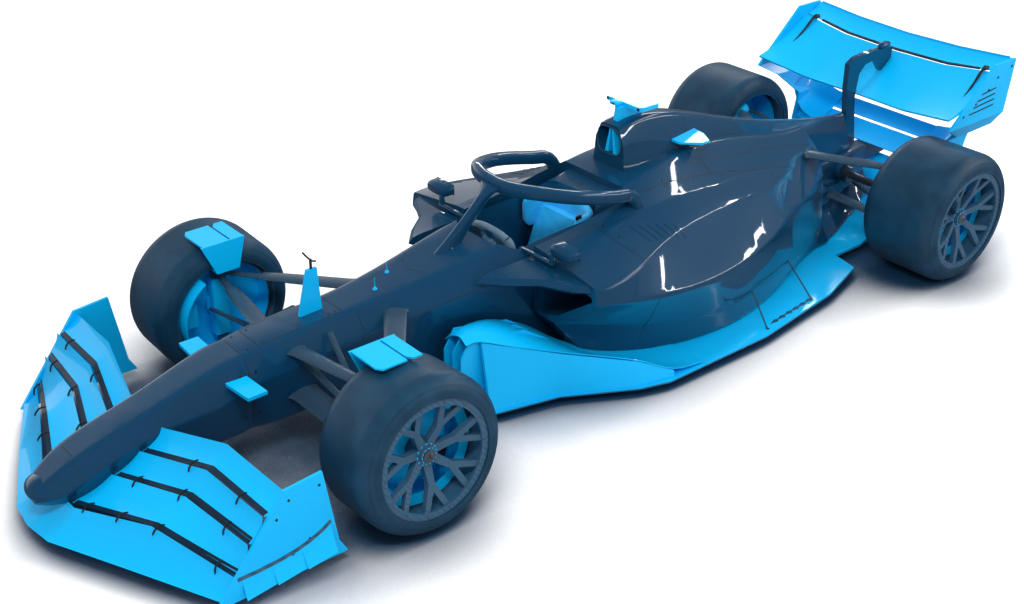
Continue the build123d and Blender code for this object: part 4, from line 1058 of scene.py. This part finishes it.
class CAR_OT_halo(bpy.types.Operator):
    """The smooth hoop and blade of the halo, and its bolts"""

    bl_idname = "car.halo"
    bl_label = "Halo"

    def execute(self, context):
        bm = bmesh.new()
        # half of the hoop's middle line: half width, station, height
        half = [
            (0.086, 1125, 0.938), (0.160, 1150, 0.940), (0.210, 1195, 0.934), (0.262, 1290, 0.911),
            (0.296, 1385, 0.887), (0.311, 1500, 0.858), (0.310, 1620, 0.828), (0.302, 1725, 0.800),
            (0.300, 1790, 0.700),
        ]
        points = [(0.0, front(1122), 0.936)] + [(x, front(y), z) for x, y, z in half]
        points = [(-x, y, z) for x, y, z in reversed(points[1:])] + points
        path = curve(points, 4)
        sweep(bm, outline(bm, rounded(0.031, 0.033)), along_path(path))
        rings = []
        # the blade: station, height, half width and half length, from its foot up into the hoop
        for y, z, wide, long in (
            (786, 0.612, 0.046, 0.110), (806, 0.645, 0.024, 0.082), (880, 0.716, 0.018, 0.060),
            (1000, 0.826, 0.020, 0.045), (1064, 0.886, 0.027, 0.042), (1096, 0.914, 0.050, 0.040),
            (1116, 0.934, 0.088, 0.030),
        ):
            rings.append([(x, front(y) + a, z) for x, a in rounded(wide, long, 0.9)])
        loft(bm, rings)
        hoop = link(bm, "halo_hoop", "body_paint", sharp=60)
        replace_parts(hoop, "halo")
        bm = bmesh.new()
        # half width, station, height, radius and thickness
        bolts = ((0.331, 1700, 0.806, 0.010, 0.004), (0.0215, 846, 0.682, 0.008, 0.006))
        for side in SIDES:
            for x, y, z, radius, height in bolts:
                head = look_along((side * x, front(y), z), (side, 0, 0))
                disc(bm, head, radius, height, 20, bevel=0.001)
        link(bm, "halo_bolts", "alloy")
        return {"FINISHED"}


class CAR_OT_mirrors(bpy.types.Operator):
    """Rounded mirror shells on their stays, their glasses and frames"""

    bl_idname = "car.mirrors"
    bl_label = "Mirrors"

    def execute(self, context):
        shells, glass, frames = bmesh.new(), bmesh.new(), bmesh.new()
        middle_x, middle_z = 0.470, 0.737
        # bars of the glass's frame: middle across and up, then width and height
        bezel = (
            (0, 0.0245, 0.138, 0.006), (0, -0.0245, 0.138, 0.006), (0.066, 0, 0.006, 0.050),
            (-0.066, 0, 0.006, 0.050),
        )
        for side in SIDES:
            rings = []
            for y, grow in ((1118, 0.42), (1123, 0.72), (1134, 0.93), (1150, 1.0), (1188, 1.0)):
                ring = rounded(0.075 * (0.5 + grow / 2), 0.031 * grow, 0.55)
                rings.append([(side * middle_x + x, front(y), middle_z + z) for x, z in ring])
            loft(shells, rings)
            block(shells, (0.235, 0.024, 0.014), at((side * 0.315, front(1124), 0.671)), 0.005, 3)
            block(shells, (0.026, 0.024, 0.060), at((side * 0.417, front(1126), 0.694)), 0.008, 3)
            place = look_along((side * middle_x, front(1189), middle_z), (0, 1, 0))
            block(glass, (0.126, 0.042, 0.003), place, 0.0008)
            for x, y, width, height in bezel:
                block(frames, (width, height, 0.006), place @ at((x, y, 0)), 0.001)
        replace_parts(link(shells, "mirror_shells", "body_paint", sharp=50), "mirrors")
        link(glass, "mirror_glasses", "mirror_glass")
        link(frames, "mirror_frames", "black_plastic")
        return {"FINISHED"}


class CAR_OT_airbox(bpy.types.Operator):
    """Blades and rim of the air intake, and the camera and lenses of the bar over it"""

    bl_idname = "car.airbox"
    bl_label = "Airbox"

    def execute(self, context):
        bm = bmesh.new()
        for x, tilt in ((-0.024, 0.020), (0.034, -0.022)):
            foot, head = 0.893, 1.023
            profile = [
                (x - 0.012, foot), (x + 0.012, foot), (x + 0.003 + tilt, head), (x - 0.003 + tilt, head),
            ]
            ends = [on_plane((0, front(y), 0), (1, 0, 0), (0, 0, 1)) for y in (1868, 1990)]
            sweep(bm, outline(bm, profile), ends)
        link(bm, "airbox_blades", "accent_paint")
        bm = bmesh.new()
        rim = [(x, front(1861), 0.958 + z) for x, z in rounded(0.083, 0.070, 0.62, 48)]
        rod(bm, rim + rim[:1], 0.003, 8, up=(0, 1, 0))
        link(bm, "airbox_rim", "carbon_dark")
        bm = bmesh.new()
        block(bm, (0.058, 0.070, 0.018), at((-0.030, front(1940), 1.1325)), 0.005, 3)
        link(bm, "camera_housing", "accent_paint")
        bm = bmesh.new()
        for x in (-0.108, 0.108):
            disc(bm, look_along((x, front(1944), 1.131), (0, -1, 0)), 0.008, 0.003, 24)
        disc(bm, look_along((-0.030, front(1904.5), 1.1325), (0, -1, 0)), 0.006, 0.002, 24)
        link(bm, "camera_lenses", "dark_glass")
        return {"FINISHED"}


class CAR_OT_bodywork(bpy.types.Operator):
    """Seams, bolts and louvres of the engine cover and sidepods, and the radiators in their inlets"""

    bl_idname = "car.bodywork"
    bl_label = "Bodywork"

    def execute(self, context):
        bm = bmesh.new()
        width = fitting().seam_width
        cover, pods, above = "engine_cover", "sidepod_left sidepod_right", 1.5
        for side in SIDES:
            for nodes, line in (
                (cover, ((0.262, front(1770)), (0.262, front(2400)), (0.262, rear(-560)))),
                (cover, ((0.26, front(2330)), (0.02, front(2330)))),
                (pods, ((0.30, front(1480)), (0.50, front(1500)), (0.66, front(1540)))),
                (pods, ((0.29, rear(-830)), (0.44, rear(-860)))),
            ):
                ribbon(bm, nodes, [(side * x, y, above) for x, y in line], DOWN, width)
            for nodes, line in (
                (cover, ((front(2120), 1.0), (front(2300), 0.8), (rear(-700), 0.7), (rear(-330), 0.62))),
                (pods, ((front(1540), 0.50), (front(1600), 0.30), (front(1600), 0.12))),
            ):
                ribbon(bm, nodes, [(side, y, z) for y, z in line], (-side, 0, 0), width)
        link(bm, "body_seams", "black_plastic")
        bm = bmesh.new()
        head, stations = fitting().bolt_radius, (1800, 2000, 2200, 2400)
        for side in SIDES:
            for nodes, x in ((cover, 0.250), (pods, 0.278)):
                hex_bolts(bm, nodes, [(side * x, front(y), above) for y in stations], DOWN, head)
            starts = [(side * x, front(1515 + (x - 0.3) * 100), above) for x in (0.34, 0.44, 0.54, 0.62)]
            hex_bolts(bm, pods, starts, DOWN, head)
        link(bm, "body_bolts", "dark_alloy")
        bm = bmesh.new()
        for side in SIDES:
            for number in range(6):
                y = 1640 + number * 46
                inner, outer = side * (0.40 + 0.012 * number), side * (0.52 + 0.004 * number)
                line = [(inner, front(y), above), (outer, front(y + 22), above)]
                ribbon(bm, pods, line, DOWN, 0.012, 0.002, 0.02)
        link(bm, "cooling_louvres", "body_paint")
        bm = bmesh.new()
        for side in SIDES:
            for number in range(16):
                x = side * (0.315 + number * 0.0145)
                block(bm, (0.0025, 0.010, 0.11), at((x, front(1418), 0.520)))
            for number in range(4):
                block(bm, (0.24, 0.004, 0.002), at((side * 0.42, front(1415), 0.480 + number * 0.026)))
        link(bm, "radiator_cores", "dark_alloy")
        return {"FINISHED"}


class CAR_OT_rear_wing(bpy.types.Operator):
    """Brackets, actuator, gurney, painted shade along the flap slot and endplate details of the rear
    wing
    """

    bl_idname = "car.rear_wing"
    bl_label = "Rear wing fittings"

    def execute(self, context):
        bm = bmesh.new()
        for side in SIDES:
            x = 0.598
            lead, edge = between(REAR_LEAD, x), between(REAR_EDGE, x)
            path, scales = [], []
            # place between leading and trailing edge, height over the surface and thickness
            for t, lift, size in (
                (1.02, 0.012, 1.0), (0.93, 0.016, 1.1), (0.78, 0.008, 0.9), (0.62, 0.000, 0.7),
                (0.46, -0.006, 0.4),
            ):
                place = lead.lerp(edge, t)
                bow = -4 * 0.026 * t * (1 - t) + 0.010
                rise = bow + lift
                path.append((side * (x + 0.02 * (1 - t)), place.x - 0.3 * rise, place.y + rise))
                scales.append((size, size))
            rod(bm, curve(path, 3), 0.007, 12, scales=[scales[min(4, n // 3)] for n in range(13)])
            ball(bm, (side * x, edge.x + 0.004, edge.y + 0.016), (0.030, 0.062, 0.026))
        link(bm, "wing_tip_brackets", "black_plastic", sharp=60)
        bm = bmesh.new()
        ball(bm, (0, rear(420), 0.990), (0.050, 0.105, 0.044), 28)
        link(bm, "flap_actuator", "body_paint", sharp=60)
        bm = bmesh.new()
        upright = Matrix(((0, 0, 1, 0), (1, 0, 0, 0), (0, 1, 0, 0), (0, 0, 0, 1)))
        stations = []
        for x in (-0.66, -0.5, -0.35, -0.15, 0, 0.15, 0.35, 0.5, 0.66):
            edge = between(FLAP_EDGE, abs(x))
            stations.append(at((x, edge.x - 0.004, edge.y)) @ upright)
        section = [(-0.0012, -0.001), (0.0012, -0.001), (0.0012, 0.009), (-0.0012, 0.009)]
        sweep(bm, outline(bm, section), stations)
        link(bm, "flap_gurney", "accent_paint", "flap", 60)
        bm = bmesh.new()
        # A dark navy rod along the flap's leading edge and strips just behind the main plane's trailing
        # edge: painted shade that fills the slot.
        nose = []
        for number in range(29):
            x = -0.56 + number * 0.04
            edge = between(REAR_EDGE, abs(x))
            for step in range(60):
                found = hit("rear_wing_flap", (x, edge.x - 0.040 + step * 0.0015, 1.4), DOWN)
                if found:
                    nose.append(found[0] + Vector((0, 0.002, -0.003)))
                    break
        rod(bm, nose, 0.0055, 10)
        spots = (-0.56, -0.35, 0.0, 0.35, 0.56)
        for back, width in ((0.008, 0.014), (0.020, 0.012)):
            line = [(x, between(REAR_EDGE, abs(x)).x + back, 1.4) for x in spots]
            ribbon(bm, "rear_wing_flap", line, DOWN, width, 0.0007, 0.03)
        link(bm, "flap_leading_edge", "slot_shade_navy", "flap", 60)
        heads = ((250, 0.80), (350, 0.85), (450, 0.91), (520, 0.965), (636, 1.006))
        beyond = 1.2
        for side, name in NAMED_SIDES:
            bm = bmesh.new()
            for number in range(4):
                z = 0.80 + number * 0.032
                ends = ((300 + number * 30, z), (520, z + 0.012))
                line = [(side * beyond, rear(y), height) for y, height in ends]
                ribbon(bm, "rear_wing_endplates", line, (-side, 0, 0), 0.008)
            link(bm, f"endplate_slots_{name}", "black_plastic")
            bm = bmesh.new()
            starts = [(side * beyond, rear(y), z) for y, z in heads]
            hex_bolts(bm, "rear_wing_endplates", starts, (-side, 0, 0), 0.008)
            link(bm, f"endplate_bolts_rear_{name}", "dark_alloy")
        bend = ((0.560, 0.170), (0.528, 0.100), (0.486, 0.046), (0.420, 0.016), (0.340, 0.004))
        for side, name in NAMED_SIDES:
            bm = bmesh.new()
            rows = []
            for y, z in ((345, 0.432), (400, 0.458), (468, 0.490), (520, 0.527), (566, 0.560)):
                rows.append([(side * x, rear(y), z + up) for x, up in bend])
            skin(bm, rows, 0.003, 3, 4)
            link(bm, f"endplate_roll_{name}", "accent_paint", sharp=60)
        return {"FINISHED"}


class CAR_OT_rain_light(bpy.types.Operator):
    """The lamp at the tail, four by four lights in a case"""

    bl_idname = "car.rain_light"
    bl_label = "Rain light"

    def execute(self, context):
        bm = bmesh.new()
        block(bm, (0.060, 0.016, 0.060), at((0, rear(612), 0.365)), 0.004)
        link(bm, "rain_light_case", "black_plastic")
        pitch = 0.013
        bm = bmesh.new()
        for column in range(4):
            for row in range(4):
                place = (-0.0195 + column * pitch, rear(619), 0.3455 + row * pitch)
                block(bm, (0.010, 0.006, 0.010), at(place), 0.002)
        link(bm, "rain_light", "red_glass")
        return {"FINISHED"}


class CAR_OT_stage(bpy.types.Operator):
    """Floor, lamps, sky and camera"""

    bl_idname = "car.stage"
    bl_label = "Studio"

    def execute(self, context):
        scene = context.scene
        settings = scene.car_studio
        bm = bmesh.new()
        bmesh.ops.create_grid(bm, x_segments=1, y_segments=1, size=60.0)
        mesh = bpy.data.meshes.new("studio_floor")
        bm.to_mesh(mesh)
        bm.free()
        finish = Finish("studio_floor", tuple(scene.car_paint.floor), 0.75)
        finish.use("Roughness", finish.span(finish.noise(4.0), 0.7, 0.8))
        # Painted shadow: the floor's colour runs from pale to deep navy where ambient occlusion finds
        # the car close above it, and the floor shows a darker colour in reflections, a painted
        # reflection.
        pale, painted_shadow_navy = tuple(scene.car_paint.floor), (0.008, 0.050, 0.115)
        mirrored_floor = (0.08, 0.11, 0.15, 1.0)
        shade = finish.tree.nodes.new("ShaderNodeAmbientOcclusion")
        shade.samples = 16
        shade.inputs["Distance"].default_value = 0.7
        floor_with_painted_shadow = finish.ramp(shade.outputs["AO"], [(0.42, painted_shadow_navy), (0.80, pale)])
        ways = finish.tree.nodes.new("ShaderNodeLightPath")
        both = finish.tree.nodes.new("ShaderNodeMix")
        both.data_type = "RGBA"
        finish.tree.links.new(ways.outputs["Is Glossy Ray"], both.inputs["Factor"])
        finish.tree.links.new(floor_with_painted_shadow, both.inputs[6])
        both.inputs[7].default_value = mirrored_floor
        finish.use("Base Color", both.outputs[2])
        # The floor glows for camera rays so it reads white, and the glow fades where ambient occlusion
        # finds the car, keeping the painted shadow dark.
        white_glow_fading_in_painted_shadow = finish.tree.nodes.new("ShaderNodeMath")
        white_glow_fading_in_painted_shadow.operation = "MULTIPLY"
        finish.tree.links.new(ways.outputs["Is Camera Ray"], white_glow_fading_in_painted_shadow.inputs[0])
        finish.tree.links.new(finish.span(shade.outputs["AO"], 0.0, 0.5, 0.80, 0.98), white_glow_fading_in_painted_shadow.inputs[1])
        finish.use("Emission Strength", white_glow_fading_in_painted_shadow.outputs[0])
        finish.shader.inputs["Emission Color"].default_value = (1.0, 1.0, 1.0, 1.0)
        mesh.materials.append(finish.material)
        ground = bpy.data.objects.new("studio_floor", mesh)
        scene.collection.objects.link(ground)

        world = bpy.data.worlds.new("studio_sky")
        world.use_nodes = True
        scene.world = world
        tree = world.node_tree
        sky = tree.nodes["Background"]
        ways = tree.nodes.new("ShaderNodeLightPath")
        links, nodes = tree.links, tree.nodes

        def blend(operation, *values):
            node = nodes.new("ShaderNodeMath")
            node.operation = operation
            for socket, value in zip(node.inputs, values):
                if isinstance(value, float):
                    socket.default_value = value
                else:
                    links.new(value, socket)
            return node.outputs[0]

        def graded(value, start, end, low, high):
            node = nodes.new("ShaderNodeMapRange")
            for socket, number in zip(RANGE_SOCKETS, (start, end, low, high)):
                node.inputs[socket].default_value = number
            links.new(value, node.inputs["Value"])
            return node.outputs["Result"]

        direction = nodes.new("ShaderNodeSeparateXYZ")
        links.new(nodes.new("ShaderNodeTexCoord").outputs["Generated"], direction.inputs[0])
        dome = graded(direction.outputs["Z"], 0.0, 0.8, settings.horizon, settings.zenith)
        beyond = graded(direction.outputs["X"], -0.72, -0.96, 0.0, 1.2)
        mirrored = blend("MULTIPLY", blend("ADD", dome, beyond), ways.outputs["Is Glossy Ray"])
        direct = blend("MAXIMUM", ways.outputs["Is Camera Ray"], ways.outputs["Is Transmission Ray"])
        level = blend("MAXIMUM", direct, mirrored)
        rest = blend("SUBTRACT", 1.0, blend("MAXIMUM", direct, ways.outputs["Is Glossy Ray"]))
        links.new(blend("ADD", level, blend("MULTIPLY", rest, settings.fill)), sky.inputs["Strength"])
        sky.inputs["Color"].default_value = (1.0, 1.0, 1.0, 1.0)

        # place, aim, size and power, and whether gloss mirrors the lamp
        for name, place, aim, size, power, mirrored in (
            ("key", (3.4, -3.5, 5.5), (0, -0.3, 0.4), (2.6, 0.7), 190.0, False),
            ("top", (-0.6, 1.0, 6.0), (0, 0.3, 0.4), (1.0, 5.0), 90.0, False),
            ("tail", (1.0, 7.0, 4.0), (0, 1.5, 0.5), (3.0, 1.0), 60.0, False),
            ("streak_low", (4.6, 5.4, 3.0), (0.4, 0.9, 0.6), (6.0, 0.20), 80.0, True),
            ("streak_high", (2.4, 6.4, 5.4), (0.3, 0.9, 0.6), (6.0, 0.20), 80.0, True),
            ("streak_far", (-4.5, 5.5, 3.6), (0, 0.5, 0.8), (5.0, 0.25), 70.0, True),
        ):
            lamp = bpy.data.lights.new(name, "AREA")
            lamp.shape = "RECTANGLE"
            lamp.size, lamp.size_y = size
            lamp.energy = power
            holder = bpy.data.objects.new(name, lamp)
            holder.visible_glossy = mirrored
            upright = (0, 1, 0) if name == "top" else (0, 0, 1)
            holder.matrix_world = look_along(place, Vector(place) - Vector(aim), upright)
            scene.collection.objects.link(holder)

        lens = bpy.data.cameras.new("camera")
        lens.lens = settings.lens
        lens.sensor_width = 36.0
        lens.shift_x, lens.shift_y = settings.shift_x, settings.shift_y
        lens.clip_end = 200.0
        azimuth, elevation = math.radians(CAMERA_AZIMUTH), math.radians(CAMERA_ELEVATION)
        back = Vector((
            math.sin(azimuth) * math.cos(elevation),
            -math.cos(azimuth) * math.cos(elevation),
            math.sin(elevation),
        ))
        camera = bpy.data.objects.new("camera", lens)
        turn = back.to_track_quat("Z", "Y").to_matrix().to_4x4()
        spot = at(CAMERA_PLACE)
        camera.matrix_world = spot @ turn @ Matrix.Rotation(settings.roll, 4, "Z")
        scene.collection.objects.link(camera)
        scene.camera = camera
        scene.view_settings.view_transform = "Standard"
        return {"FINISHED"}


class CAR_PT_panel(bpy.types.Panel):
    """Lists the groups of pieces"""

    bl_idname = "CAR_PT_panel"
    bl_label = "Racing Car"
    bl_space_type = "VIEW_3D"
    bl_region_type = "UI"
    bl_category = "Racing Car"

    def draw(self, context):
        for operator in OPERATORS:
            self.layout.operator(operator.bl_idname)
        for group in (context.scene.car_paint, context.scene.car_fitting, context.scene.car_studio):
            for name in group.__annotations__:
                self.layout.prop(group, name)


SETTINGS = (
    ("car_paint", CarPaintSettings),
    ("car_fitting", CarFittingSettings),
    ("car_studio", CarStudioSettings),
)
OPERATORS = (
    CAR_OT_finishes,
    CAR_OT_wheels,
    CAR_OT_front_wing,
    CAR_OT_nose,
    CAR_OT_suspension,
    CAR_OT_brake_scoops,
    CAR_OT_floor_roof,
    CAR_OT_cockpit,
    CAR_OT_halo,
    CAR_OT_mirrors,
    CAR_OT_airbox,
    CAR_OT_bodywork,
    CAR_OT_rear_wing,
    CAR_OT_rain_light,
    CAR_OT_stage,
)


def register():
    """Register the settings, the operators and the panel."""
    for name, group in SETTINGS:
        bpy.utils.register_class(group)
        setattr(bpy.types.Scene, name, PointerProperty(type=group))
    for operator in OPERATORS:
        bpy.utils.register_class(operator)
    bpy.utils.register_class(CAR_PT_panel)


def unregister():
    """Take back what register added."""
    bpy.utils.unregister_class(CAR_PT_panel)
    for operator in reversed(OPERATORS):
        bpy.utils.unregister_class(operator)
    for name, group in reversed(SETTINGS):
        delattr(bpy.types.Scene, name)
        bpy.utils.unregister_class(group)


def main():
    """Dress the car."""
    register()
    for operator in OPERATORS:
        group, name = operator.bl_idname.split(".")
        getattr(getattr(bpy.ops, group), name)()


if __name__ == "__main__":
    main()
